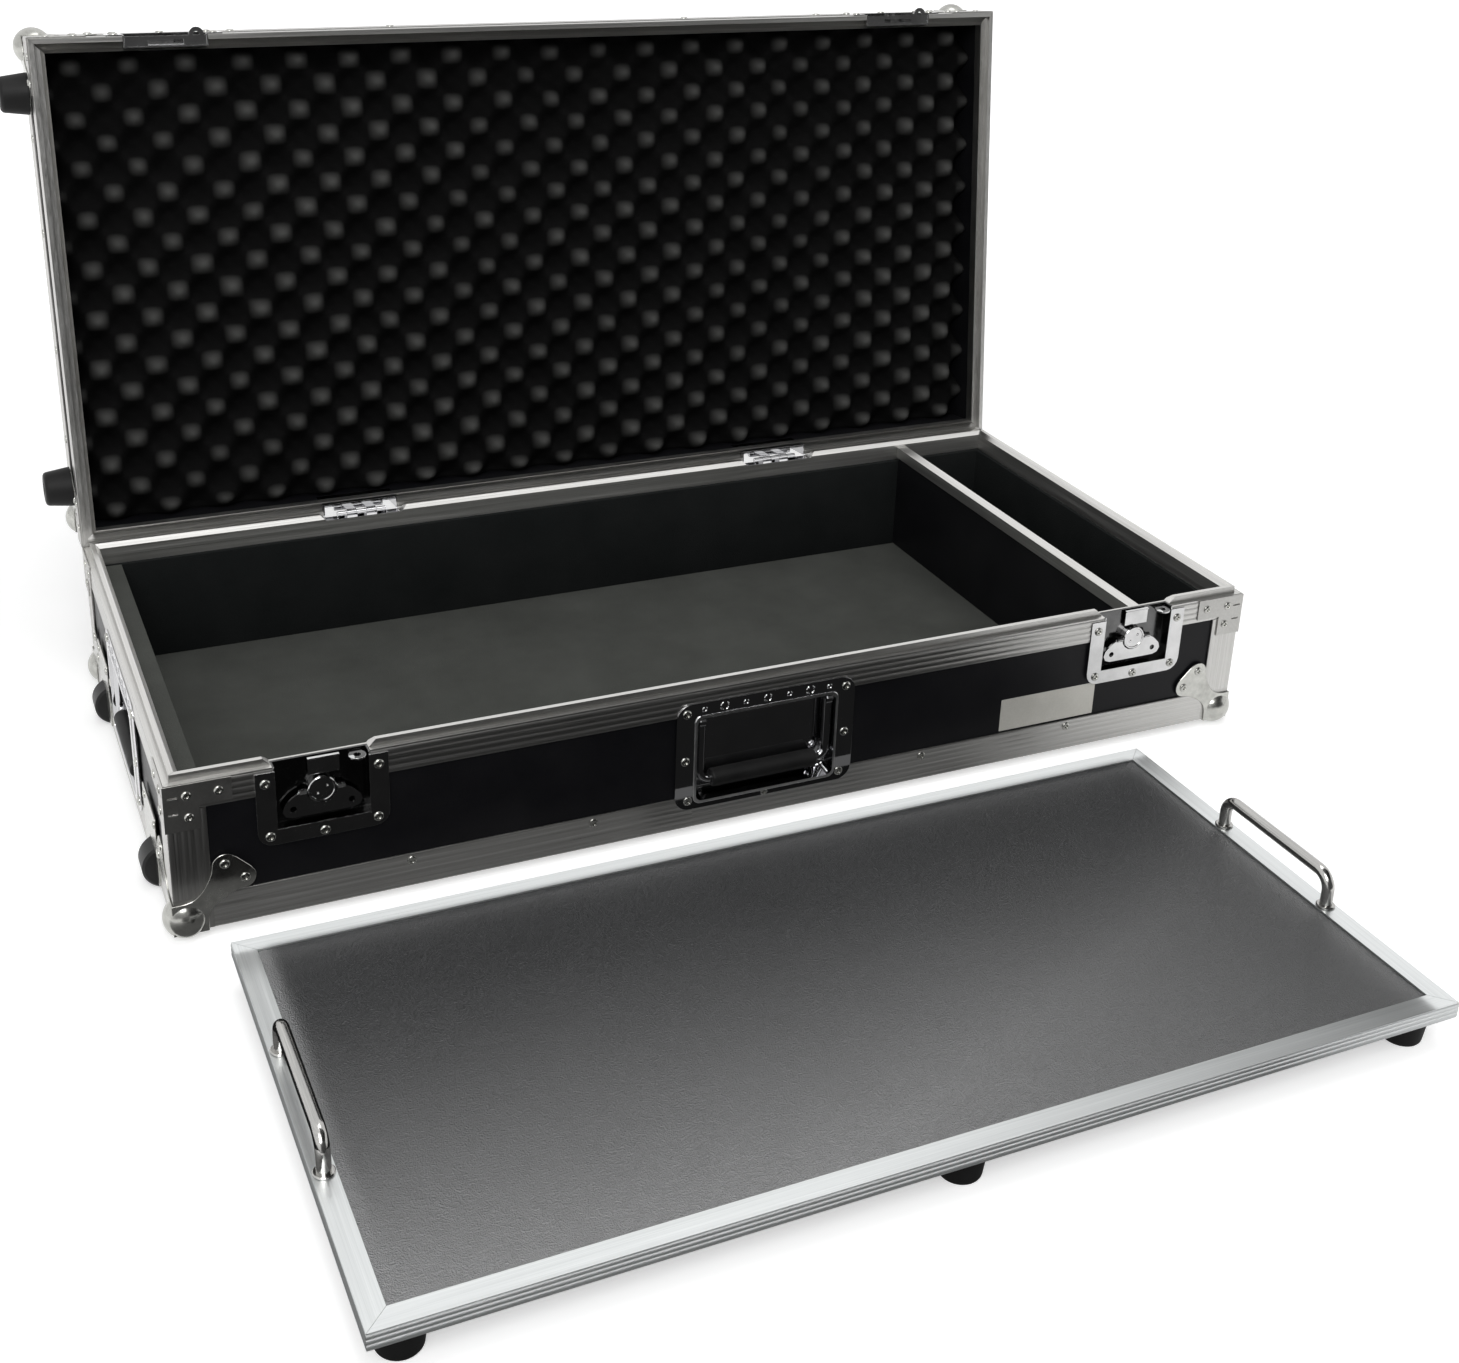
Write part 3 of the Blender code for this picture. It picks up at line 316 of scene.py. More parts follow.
def tube(name, route, radii, sides=6):
    # A round bar along a route, from a bevelled curve made into a mesh
    line = bpy.data.curves.new(name, "CURVE")
    line.dimensions = "3D"
    line.bevel_depth = 1
    line.bevel_resolution = sides
    line.use_fill_caps = True
    spline = line.splines.new("POLY")
    spline.points.add(len(route) - 1)
    for spot, place, radius in zip(spline.points, route, radii):
        spot.co = (*place, 1)
        spot.radius = radius
    piece = bpy.data.objects.new(name, line)
    bpy.context.scene.collection.objects.link(piece)
    pick(piece)
    bpy.ops.object.convert(target="MESH")
    piece = bpy.context.object
    editOn(piece, everything=True)
    bpy.ops.mesh.remove_doubles(threshold=0.00001)
    bpy.ops.mesh.select_all(action="SELECT")
    bpy.ops.mesh.normals_make_consistent(inside=False)
    editOff()
    return piece


crate = {
    "pitch": 0.026, "rowPitch": 0.0238, "rowShift": 0.35, "steps": 8, "back": 0.0724, "valley": 0.0215,
    "peak": 0.0465, "edge": 0.012, "shape": 1.1, "wander": 0.0026,
}

# Materials. Each surface gets a colour that drifts, a roughness that varies and a fine relief.

def surfaceOf(name, look):
    material = bpy.data.materials.new(name)
    material.use_nodes = True
    nodes, links = material.node_tree.nodes, material.node_tree.links
    shader = nodes["Principled BSDF"]
    shader.inputs["Metallic"].default_value = look.get("metal", 0)
    shader.inputs["Specular IOR Level"].default_value = look.get("specular", 0.5)
    shader.inputs["IOR"].default_value = look.get("ior", 1.5)
    place = nodes.new("ShaderNodeTexCoord")

    def grain(scale, detail=3, stretch=(1, 1, 1)):
        mapping = nodes.new("ShaderNodeMapping")
        mapping.inputs["Scale"].default_value = stretch
        links.new(place.outputs["Object"], mapping.inputs["Vector"])
        texture = nodes.new("ShaderNodeTexNoise")
        texture.inputs["Scale"].default_value = scale
        texture.inputs["Detail"].default_value = detail
        texture.inputs["Roughness"].default_value = 0.6
        links.new(mapping.outputs["Vector"], texture.inputs["Vector"])
        return texture.outputs["Fac"]

    def ramp(value, low, high, start=0.3, end=0.7):
        spread = nodes.new("ShaderNodeMapRange")
        spread.inputs["From Min"].default_value = start
        spread.inputs["From Max"].default_value = end
        spread.inputs["To Min"].default_value = low
        spread.inputs["To Max"].default_value = high
        links.new(value, spread.inputs["Value"])
        return spread.outputs["Result"]

    drift = grain(look.get("patch", 18), 4, look.get("stretch", (1, 1, 1)))
    fine = grain(look["fine"], look.get("detail", 3), look.get("stretch", (1, 1, 1)))
    blend = nodes.new("ShaderNodeMath")
    blend.operation = "MULTIPLY_ADD"
    share = look.get("fineShare", 0.4)
    links.new(fine, blend.inputs[0])
    blend.inputs[1].default_value = share
    drifting = nodes.new("ShaderNodeMath")
    drifting.operation = "MULTIPLY"
    links.new(drift, drifting.inputs[0])
    drifting.inputs[1].default_value = 1 - share
    links.new(drifting.outputs[0], blend.inputs[2])
    both = blend.outputs[0]
    colours = nodes.new("ShaderNodeValToRGB")
    colours.color_ramp.elements[0].position = 0.32
    colours.color_ramp.elements[0].color = (*look["dark"], 1)
    colours.color_ramp.elements[1].position = 0.68
    colours.color_ramp.elements[1].color = (*look["pale"], 1)
    links.new(both, colours.inputs["Fac"])
    if "tips" in look:
        # paler where the foam stands furthest out of the lid: painted light on the bump tops, with the valleys between
        # left dark
        tips = look["tips"]
        back = lidTurn @ Vector((0, 0, parting + crate["back"]))
        turned = nodes.new("ShaderNodeMapping")
        turned.vector_type = "TEXTURE"
        turned.inputs["Location"].default_value = back
        turned.inputs["Rotation"].default_value = (math.pi - openAngle, 0, 0)
        links.new(place.outputs["Object"], turned.inputs["Vector"])
        apart = nodes.new("ShaderNodeSeparateXYZ")
        links.new(turned.outputs["Vector"], apart.inputs["Vector"])
        mixed = nodes.new("ShaderNodeMix")
        mixed.data_type = "RGBA"
        links.new(ramp(apart.outputs["Z"], 0, 1, tips["start"], tips["end"]), mixed.inputs[0])
        links.new(colours.outputs["Color"], mixed.inputs[6])
        mixed.inputs[7].default_value = (*tips["colour"], 1)
        links.new(mixed.outputs[2], shader.inputs["Base Color"])
    else:
        links.new(colours.outputs["Color"], shader.inputs["Base Color"])
    links.new(ramp(both, *look["rough"]), shader.inputs["Roughness"])
    bump = nodes.new("ShaderNodeBump")
    bump.inputs["Strength"].default_value = look.get("strength", 1)
    bump.inputs["Distance"].default_value = look["relief"]
    if "cell" in look:
        cells = nodes.new("ShaderNodeTexVoronoi")
        cells.inputs["Scale"].default_value = look["cell"]
        links.new(place.outputs["Object"], cells.inputs["Vector"])
        mixed = nodes.new("ShaderNodeMath")
        mixed.operation = "ADD"
        links.new(cells.outputs["Distance"], mixed.inputs[0])
        links.new(fine, mixed.inputs[1])
        links.new(mixed.outputs[0], bump.inputs["Height"])
    else:
        links.new(fine, bump.inputs["Height"])
    links.new(bump.outputs["Normal"], shader.inputs["Normal"])
    return material


brushed = {
    "metal": 1, "dark": (0.40, 0.395, 0.38), "pale": (0.60, 0.595, 0.58), "rough": (0.26, 0.42),
    "fine": 14, "detail": 5, "relief": 0.00003, "fineShare": 0.6, "patch": 3,
}
looks = {
    "aluminiumAlongX": {**brushed, "stretch": (0.6, 90, 90)},
    "aluminiumAlongY": {**brushed, "stretch": (90, 0.6, 90)},
    "aluminiumAlongZ": {**brushed, "stretch": (90, 90, 0.6)},
    "aluminiumPlain": {
        "metal": 1, "dark": (0.36, 0.355, 0.34), "pale": (0.50, 0.495, 0.48), "rough": (0.30, 0.44),
        "fine": 400, "relief": 0.00002,
    },
    "zincPlate": {
        "metal": 1, "dark": (0.34, 0.34, 0.32), "pale": (0.56, 0.56, 0.53), "rough": (0.16, 0.30), "patch": 60,
        "fine": 160, "relief": 0.00008,
    },
    "brightChrome": {
        "metal": 1, "dark": (0.50, 0.50, 0.51), "pale": (0.58, 0.58, 0.59), "rough": (0.03, 0.08), "patch": 40,
        "fine": 30, "relief": 0.00006, "detail": 1,
    },
    "latchChrome": {
        "metal": 1, "dark": (0.48, 0.48, 0.48), "pale": (0.60, 0.60, 0.60), "rough": (0.06, 0.14), "patch": 50,
        "fine": 60, "relief": 0.00006,
    },
    "stainlessBow": {
        "metal": 1, "dark": (0.40, 0.40, 0.39), "pale": (0.58, 0.57, 0.55), "rough": (0.12, 0.22),
        "fine": 12, "detail": 5, "relief": 0.00002, "stretch": (60, 1.5, 60), "fineShare": 0.6,
    },
    # dark chrome, painted as shade inside the latch dishes
    "shadedChrome": {
        "metal": 1, "dark": (0.07, 0.07, 0.07), "pale": (0.14, 0.14, 0.14), "rough": (0.10, 0.20), "patch": 50,
        "fine": 60, "relief": 0.00006,
    },
    # paler chrome, painted as a highlight on the handle dishes' raised lip
    "wornChrome": {
        "metal": 1, "dark": (0.66, 0.66, 0.66), "pale": (0.80, 0.80, 0.80), "rough": (0.26, 0.38), "patch": 50,
        "fine": 60, "relief": 0.00004,
    },
    "paleAluminiumX": {**brushed, "dark": (0.66, 0.68, 0.68), "pale": (0.84, 0.86, 0.86), "stretch": (0.6, 90, 90)},
    "paleAluminiumY": {**brushed, "dark": (0.66, 0.68, 0.68), "pale": (0.84, 0.86, 0.86), "stretch": (90, 0.6, 90)},
    "silverPaper": {
        "metal": 0.4, "dark": (0.48, 0.47, 0.43), "pale": (0.58, 0.57, 0.53), "rough": (0.34, 0.5), "patch": 30,
        "fine": 500, "relief": 0.00002,
    },
    "blackLaminate": {
        "dark": (0.003, 0.003, 0.004), "pale": (0.008, 0.008, 0.009), "rough": (0.30, 0.44), "patch": 9,
        "fine": 900, "relief": 0.00004, "cell": 1100, "fineShare": 0.3, "specular": 0.14,
    },
    "boardLaminate": {
        "dark": (0.001, 0.0015, 0.002), "pale": (0.026, 0.028, 0.031), "rough": (0.30, 0.46), "patch": 5,
        "fine": 900, "detail": 1, "relief": 0.0004, "cell": 1100, "fineShare": 0.85, "specular": 1, "ior": 2.15,
    },
    "mouldedRubber": {
        "dark": (0.004, 0.004, 0.004), "pale": (0.010, 0.010, 0.010), "rough": (0.44, 0.62), "patch": 40,
        "fine": 700, "relief": 0.00008, "specular": 0.22,
    },
    "wheelPlastic": {
        "dark": (0.004, 0.004, 0.004), "pale": (0.012, 0.012, 0.012), "rough": (0.34, 0.5), "patch": 40,
        "fine": 500, "relief": 0.00005, "specular": 0.25,
    },
    "greyFoam": {
        "dark": (0.040, 0.042, 0.038), "pale": (0.066, 0.069, 0.063), "rough": (0.86, 0.98), "patch": 14,
        "fine": 900, "relief": 0.00025, "cell": 1300, "specular": 0.1,
    },
    "blackFoam": {
        "dark": (0.003, 0.003, 0.003), "pale": (0.006, 0.006, 0.006), "rough": (0.88, 0.98), "patch": 22,
        "fine": 1100, "relief": 0.0003, "cell": 1500, "specular": 0.05,
        "tips": {"colour": (0.060, 0.060, 0.058), "start": 0.0355, "end": 0.0475},
    },
    "liningCloth": {
        "dark": (0.003, 0.004, 0.004), "pale": (0.009, 0.010, 0.010), "rough": (0.8, 0.95), "patch": 16,
        "fine": 1000, "relief": 0.0002, "cell": 700, "specular": 0.08,
    },
}
surfaces = {name: surfaceOf(name, look) for name, look in looks.items()}
print("materials made")

# The photograph's camera
sight = {
    "place": (-0.64499, -1.51770, 0.88471),
    "yaw": 0.438988,
    "pitch": 0.381646,
    "roll": 0.038451,
    "focal": 1890.013,  # pixels, in an image 1459 wide
    "imageWidth": 1459,
    "centreRise": 190.338,  # pixels from the image's middle up to the lens axis
}


def aimCamera():
    yaw, pitch, roll = sight["yaw"], sight["pitch"], sight["roll"]
    forward = Vector((math.sin(yaw) * math.cos(pitch), math.cos(yaw) * math.cos(pitch), -math.sin(pitch)))
    level = Vector((math.cos(yaw), -math.sin(yaw), 0))
    upright = level.cross(forward)
    right = math.cos(roll) * level + math.sin(roll) * upright
    up = math.cos(roll) * upright - math.sin(roll) * level
    lens = bpy.data.cameras.new("photoCamera")
    camera = bpy.data.objects.new("photoCamera", lens)
    bpy.context.scene.collection.objects.link(camera)
    turn = Matrix((right, up, -forward)).transposed().to_4x4()
    camera.matrix_world = caseFrame @ Matrix.Translation(sight["place"]) @ turn
    lens.sensor_width = 36
    lens.lens = sight["focal"] / sight["imageWidth"] * lens.sensor_width
    lens.shift_y = -sight["centreRise"] / sight["imageWidth"]
    lens.clip_start, lens.clip_end = 0.05, 60
    bpy.context.scene.camera = camera


# Floor, world and lamps. The white background is seen by the camera and in reflections only.
studio = {
    "floorSize": 24,
    "floorColour": (0.80, 0.80, 0.80),
    "floorGlow": 0.45,  # near the object
    "farGlow": 0.9,
    "glowStart": 0.9,
    "glowEnd": 2.6,
    "worldStrength": 0.32,
    "lamps": (
        {"name": "keyLamp", "place": (-1.1, -2.3, 2.4), "aim": (0, 0.1, 0.2), "size": 1.8, "power": 62},
        {"name": "topLamp", "place": (0.3, -0.2, 3.0), "aim": (0.1, 0.2, 0.2), "size": 2.0, "power": 34},
    ),
    # Cards that only reflections see, and only from one side: painted reflections, dark ones painting shade and bright
    # ones painting highlights.
    # Some stand in for a dark room on the camera's side, and some hang a few millimetres over the board and the case.
    # Each fades out along X at both ends, and a graded one also thins out towards the front and the right.
    "cards": (
        # floorCard and handleCard darken the floor near the case, and gapCard and caseCard the space between case and
        # board: painted shade
        {"name": "floorCard", "low": (-0.8, -0.62, 0.0006), "high": (0.52, -0.076, 0.0006), "shade": 0.15, "fade": 0.3},
        {"name": "handleCard", "low": (-0.09, -0.132, 0.0008), "high": (0.14, -0.107, 0.0008), "shade": 0.01,
         "fade": 0.01},
        {"name": "gapCard", "low": (0.36, -0.1, 0.033), "high": (-0.6, -0.1, 0.06), "shade": 0.015, "fade": 0.1},
        {"name": "caseCard", "low": (-0.6, -0.6, 0.06), "high": (0.36, -0.1, 0.06), "shade": 0.015, "fade": 0.1},
        # boardCard hangs a few millimetres over the board and darkens its reflection by grades: painted shade and sheen
        {"name": "boardCard", "low": (0.337, -0.56, 0.046), "high": (-0.437, -0.151, 0.046), "shade": 0.008,
         "fade": 0.002,
         "graded": {"back": -0.19, "front": -0.515, "power": 1.6, "left": -0.15, "right": 0.31, "thinnest": 0.2}},
        # edgeCard glows over the board's back edging and ledgeCard over the case's ledges: painted highlights
        {"name": "edgeCard", "low": (0.36, -0.151, 0.046), "high": (-0.47, -0.13, 0.046), "shade": 1, "fade": 0.002},
        {"name": "ledgeCard", "low": (0.54, -0.065, 0.156), "high": (-0.5, 0.385, 0.156), "shade": 1.3, "fade": 0.002},
        # nearCard, frontCard and ceilingCard put a darker room into the reflections: painted reflections
        {"name": "nearCard", "low": (-1.8, -2.9, 0.0006), "high": (2.4, -0.75, 0.0006), "shade": 0.08, "fade": 0.9},
        {"name": "frontCard", "low": (3.4, -2.9, 0), "high": (-2.2, -2.9, 2.2), "shade": 0.08, "fade": 0.9},
        {"name": "ceilingCard", "low": (3.6, -2.8, 2.1), "high": (-0.6, -0.2, 2.1), "shade": 0.01, "fade": 0.3},
    ),
}


def seenRays(nodes, links):
    # 1 for camera, glossy and transmission rays
    path = nodes.new("ShaderNodeLightPath")
    total = path.outputs["Is Camera Ray"]
    for ray in ("Is Glossy Ray", "Is Transmission Ray"):
        larger = nodes.new("ShaderNodeMath")
        larger.operation = "MAXIMUM"
        links.new(total, larger.inputs[0])
        links.new(path.outputs[ray], larger.inputs[1])
        total = larger.outputs[0]
    return total


def setCard(card):
    ends = card["low"], card["high"]
    bpy.ops.mesh.primitive_plane_add(size=1)
    piece = bpy.context.object
    piece.name = card["name"]
    for spot, across, along in zip(piece.data.vertices, (0, 1, 0, 1), (0, 0, 1, 1)):
        spot.co = (ends[across][0], ends[along][1], ends[along][2])
    paint = bpy.data.materials.new(card["name"])
    paint.use_nodes = True
    nodes, links = paint.node_tree.nodes, paint.node_tree.links
    nodes.remove(nodes["Principled BSDF"])
    # the glow that paints the card's shade or highlight into reflections
    glow = nodes.new("ShaderNodeEmission")
    glow.inputs["Color"].default_value = (card["shade"],) * 3 + (1,)
    place = nodes.new("ShaderNodeTexCoord")
    apart = nodes.new("ShaderNodeSeparateXYZ")
    links.new(place.outputs["Object"], apart.inputs["Vector"])

    def mathOf(operation, first, second):
        step = nodes.new("ShaderNodeMath")
        step.operation = operation
        for socket, value in zip(step.inputs, (first, second)):
            if isinstance(value, (int, float)):
                socket.default_value = value
            else:
                links.new(value, socket)
        return step.outputs[0]

    def share(axis, start, end, low=0, high=1):
        spread = nodes.new("ShaderNodeMapRange")
        spread.inputs["From Min"].default_value = start
        spread.inputs["From Max"].default_value = end
        spread.inputs["To Min"].default_value = low
        spread.inputs["To Max"].default_value = high
        links.new(apart.outputs[axis], spread.inputs["Value"])
        return spread.outputs["Result"]

    left, right = sorted((ends[0][0], ends[1][0]))
    fade = card["fade"]
    bare = mathOf("MAXIMUM", share("X", left + fade, left), share("X", right - fade, right))
    if "graded" in card:
        grade = card["graded"]
        forward = mathOf("POWER", share("Y", grade["back"], grade["front"]), grade["power"])
        thin = mathOf("MINIMUM", forward, share("X", grade["left"], grade["right"], 1, grade["thinnest"]))
        bare = mathOf("MAXIMUM", bare, thin)
    side = nodes.new("ShaderNodeNewGeometry")
    bare = mathOf("MAXIMUM", bare, side.outputs["Backfacing"])
    clear = nodes.new("ShaderNodeBsdfTransparent")
    blend = nodes.new("ShaderNodeMixShader")
    links.new(bare, blend.inputs[0])
    links.new(glow.outputs[0], blend.inputs[1])
    links.new(clear.outputs[0], blend.inputs[2])
    links.new(blend.outputs[0], nodes["Material Output"].inputs["Surface"])
    piece.data.materials.append(paint)
    piece.visible_camera = piece.visible_diffuse = piece.visible_shadow = False


def setStudio():
    bpy.ops.mesh.primitive_plane_add(size=studio["floorSize"], location=(0, 0, 0))
    floor = bpy.context.object
    floor.name = "studioFloor"
    paint = bpy.data.materials.new("studioFloor")
    paint.use_nodes = True
    nodes, links = paint.node_tree.nodes, paint.node_tree.links
    shader = nodes["Principled BSDF"]
    shader.inputs["Base Color"].default_value = (*studio["floorColour"], 1)
    shader.inputs["Roughness"].default_value = 0.9
    shader.inputs["Emission Color"].default_value = (1, 1, 1, 1)
    place = nodes.new("ShaderNodeTexCoord")
    distance = nodes.new("ShaderNodeVectorMath")
    distance.operation = "LENGTH"
    links.new(place.outputs["Object"], distance.inputs[0])
    spread = nodes.new("ShaderNodeMapRange")
    spread.inputs["From Min"].default_value = studio["glowStart"]
    spread.inputs["From Max"].default_value = studio["glowEnd"]
    spread.inputs["To Min"].default_value = studio["floorGlow"]
    spread.inputs["To Max"].default_value = studio["farGlow"]
    links.new(distance.outputs["Value"], spread.inputs["Value"])
    glow = nodes.new("ShaderNodeMath")
    glow.operation = "MULTIPLY"
    links.new(seenRays(nodes, links), glow.inputs[0])
    links.new(spread.outputs["Result"], glow.inputs[1])
    links.new(glow.outputs[0], shader.inputs["Emission Strength"])
    floor.data.materials.append(paint)

    world = bpy.data.worlds.new("studioWorld")
    bpy.context.scene.world = world
    world.use_nodes = True
    nodes, links = world.node_tree.nodes, world.node_tree.links
    light = nodes["Background"]
    light.inputs["Color"].default_value = (1, 1, 1, 1)
    strength = nodes.new("ShaderNodeMapRange")
    strength.inputs["To Min"].default_value = studio["worldStrength"]
    strength.inputs["To Max"].default_value = 1
    links.new(seenRays(nodes, links), strength.inputs["Value"])
    links.new(strength.outputs["Result"], light.inputs["Strength"])

    for card in studio["cards"]:
        setCard(card)

    for lamp in studio["lamps"]:
        data = bpy.data.lights.new(lamp["name"], "AREA")
        data.size = lamp["size"]
        data.energy = lamp["power"]
        holder = bpy.data.objects.new(lamp["name"], data)
        bpy.context.scene.collection.objects.link(holder)
        holder.location = lamp["place"]
        aim = Vector(lamp["aim"]) - Vector(lamp["place"])
        holder.rotation_euler = aim.to_track_quat("-Z", "Y").to_euler()
    bpy.context.scene.view_settings.view_transform = "Standard"


aimCamera()
setStudio()
print("camera and studio set")


# Extruded rings are cut at their mitres into four bars each, with a hair's breadth between them
mitreGap = 0.0001


def cutAway(piece, spot, normal):
    # Takes off what lies on the normal's side of the spot, and closes the cut
    editOn(piece, everything=True)
    bpy.ops.mesh.bisect(plane_co=spot, plane_no=normal, use_fill=True, clear_outer=True, threshold=1e-6)
    bpy.ops.mesh.select_all(action="SELECT")
    bpy.ops.mesh.normals_make_consistent(inside=False)
    editOff()


def mitredBar(bar, centre, width, depth, turn):
    outward = Matrix.Rotation(math.radians(turn), 3, "Z") @ Vector((0, -1, 0))
    cutAway(bar, centre, -outward)
    for side in (-1, 1):
        sideways = Vector((-outward.y, outward.x, 0)) * side
        corner = outward + sideways
        spot = centre + Vector((corner.x * width / 2, corner.y * depth / 2, 0))
        normal = (sideways - outward).normalized()
        cutAway(bar, spot - normal * mitreGap, normal)
    return bar


def rimBars(node, body, onLid, width):
    for wall, (turn, _, _) in walls.items():
        along = "X" if wall in ("front", "back") else "Y"
        bar = copyOfNode(node, f"{node}{wall.title()}", whole=False)
        if onLid:
            moved(bar, lidTurn.inverted())
        mitredBar(bar, caseFrame.translation, caseWidth, caseDepth, turn)
        if onLid:
            moved(bar, lidTurn)
            along = "X" if along == "X" else "Z"
        bevelled(wholeFaces(bar), width)
        finished(bar, body, surfaces[f"aluminiumAlong{along}"], [node])


rimBars("base_rim", "base", False, 0.00025)
rimBars("lid_rim", "lid", True, 0.00025)
print("closing extrusions made")

# Ridges along the extrusions: one comb-shaped band per stretch
ridges = {"rise": 0.00045, "sink": 0.0002, "valley": 0.0001, "steps": 5, "leg": 6, "skirt": 4, "narrow": 4}


def ridgeOutline(width, count):
    pitch = width / count
    outline = [(width, -ridges["sink"]), (0, -ridges["sink"])]
    for ridge in range(count):
        for step in range(ridges["steps"] + 1):
            share = step / ridges["steps"]
            rise = ridges["valley"] + (ridges["rise"] - ridges["valley"]) * math.sin(math.pi * share) ** 0.5
            outline.append((pitch * (ridge + 0.04 + 0.92 * share), rise))
    return outline


def ridgeBand(start, end, low, width, count, place):
    outline = [(-out, low + across) for across, out in ridgeOutline(width, count)]
    return moved(plate("ridges", outline, start, end, "x"), place)


def uprightTurn(x):
    return Matrix.Translation((x, 0, 0)) @ Matrix.Rotation(-math.pi / 2, 4, "Y")


def edgingRidges():
    leg, foot = case["leg"], case["foot"]
    wheelNear, wheelFar = 0.1307, 0.1593
    handleHalf, handleLow = 0.0675, 0.0225
    baseTop = ledge - case["skirt"] - case["gap"]
    lidEdge = lidTop - leg
    lidBase = parting + case["skirt"] + case["gap"]
    dishHalf = 0.038
    bands = {"X": [], "Y": [], "Z": [], "lidX": [], "lidY": [], "lidZ": []}
    for wall, (_, _, length) in walls.items():
        half = length / 2
        place, lidPlace = wallFrame(wall), wallFrame(wall, True)
        along = "X" if wall in ("front", "back") else "Y"
        lidAlong = "lidX" if along == "X" else "lidZ"
        stretches = [(leg - half, half - leg)]
        if wall == "front":
            stretches = [(leg - half, -handleHalf), (handleHalf, half - leg)]
        if wall == "left":
            stretches = [
                (leg - half, -wheelFar), (wheelFar, half - leg), (-wheelNear, -handleHalf), (handleHalf, wheelNear),
            ]
        if wall in ("front", "left"):
            bands[along].append(ridgeBand(-handleHalf, handleHalf, foot, handleLow, ridges["narrow"], place))
        for start, end in stretches:
            bands[along].append(ridgeBand(start, end, foot, leg, ridges["leg"], place))
        middle = {"front": case["latchOffset"], "back": case["hingeOffset"]}.get(wall)
        spans = [(-half, half)]
        if middle:
            spans = [
                (-half, -middle - dishHalf), (dishHalf - middle, middle - dishHalf), (middle + dishHalf, half),
            ]
        skirt = case["skirt"] - 0.0016
        for start, end in spans:
            bands[along].append(ridgeBand(start, end, ledge - case["skirt"] + 0.0004, skirt, ridges["skirt"], place))
            bands[lidAlong].append(ridgeBand(start, end, parting + 0.0012, skirt, ridges["skirt"], lidPlace))
        bands[lidAlong].append(ridgeBand(leg - half, half - leg, lidEdge, leg, ridges["leg"], lidPlace))
        overTop = lidPlace @ Matrix.Translation((0, 0, lidTop)) @ Matrix.Rotation(-math.pi / 2, 4, "X")
        bands[lidAlong].append(ridgeBand(leg - half, half - leg, 0, leg, ridges["leg"], overTop))
        for x in (leg - half, half):
            up = place @ uprightTurn(x)
            bands["Z"].append(ridgeBand(foot + leg, baseTop, 0, leg, ridges["leg"], up))
            up = lidPlace @ uprightTurn(x)
            bands["lidY"].append(ridgeBand(lidBase, lidEdge, 0, leg, ridges["leg"], up))
    for key, pieces in bands.items():
        body = "lid" if key.startswith("lid") else "base"
        whole = joined(f"{body}Ridges{key[-1]}", pieces)
        finished(whole, body, surfaces[f"aluminiumAlong{key[-1]}"], smooth=50)


edgingRidges()
# Each corner brace has two short slots beside its fold
slot = {"from": 0.0018, "to": 0.0092, "height": 0.0014, "depth": 0.0048, "levels": (0.1145, 0.1285)}


def braceSlots():
    cutters = []
    for wall, (_, _, length) in walls.items():
        for side in (-1, 1):
            for level in slot["levels"]:
                bpy.ops.mesh.primitive_cube_add(size=1)
                cutter = bpy.context.object
                middle = length / 2 - (slot["from"] + slot["to"]) / 2
                size = Matrix.Diagonal((slot["to"] - slot["from"], slot["depth"], slot["height"], 1))
                cutters.append(moved(cutter, wallFrame(wall) @ Matrix.Translation((side * middle, 0, level)) @ size))
    return joined("braceSlots", cutters)


edging = combined(copyOfNode("base_edging", "baseEdging"), "DIFFERENCE", braceSlots())
finished(bevelled(edging, 0.0003), "base", surfaces["aluminiumPlain"], ["base_edging"])
softenedNode("lid_edging", "lid", surfaces["aluminiumPlain"], 0.0003)
print("edging made")

# Ball corners, drawn in a corner at zero with the case on the positive side
ball = {
    "radius": 0.0175,
    "inset": 0.0095,
    "reach": 0.063,
    "lobes": ((0.41, 0), (0.43, 0.21), (0.55, 0.36), (0.76, 0.47), (0.92, 0.50), (1, 0.58), (1.01, 0.69), (0.95, 0.79)),
    "rivets": ((0.0405, 0.0555), (0.0555, 0.0405)),
}


def ballCorner():
    low, high = -plateFace, -case["gap"]
    bpy.ops.mesh.primitive_uv_sphere_add(
        segments=48, ring_count=28, radius=ball["radius"], location=(ball["inset"],) * 3
    )
    corner = bpy.context.object
    corner.data.transform(corner.matrix_world)
    corner.matrix_world = Matrix()
    half = [(reach * ball["reach"], side * ball["reach"]) for reach, side in ball["lobes"]]
    outline = smoothOutline([(low, half[0][0])] + [(side, reach) for reach, side in half[1:]])
    back = [(y, x) for x, y in reversed(outline)]
    outline = outline + back + [(low, low)]
    sheets = [bevelled(plate("sheet", outline, low, high, axis), 0.0003, 1) for axis in "xyz"]
    combined(corner, "UNION", *sheets)
    bpy.ops.mesh.primitive_cube_add(size=0.3, location=(0.15 - case["gap"],) * 3)
    inside = bpy.context.object
    inside.data.transform(inside.matrix_world)
    inside.matrix_world = Matrix()
    editOn(inside, "VERT")
    editOff()
    for spot in inside.data.vertices:
        spot.select = spot.co.length < 0.01
    bpy.ops.object.mode_set(mode="EDIT")
    bpy.ops.mesh.bevel(offset=0.0045, affect="VERTICES", segments=1)
    editOff()
    combined(corner, "DIFFERENCE", inside)
    return corner


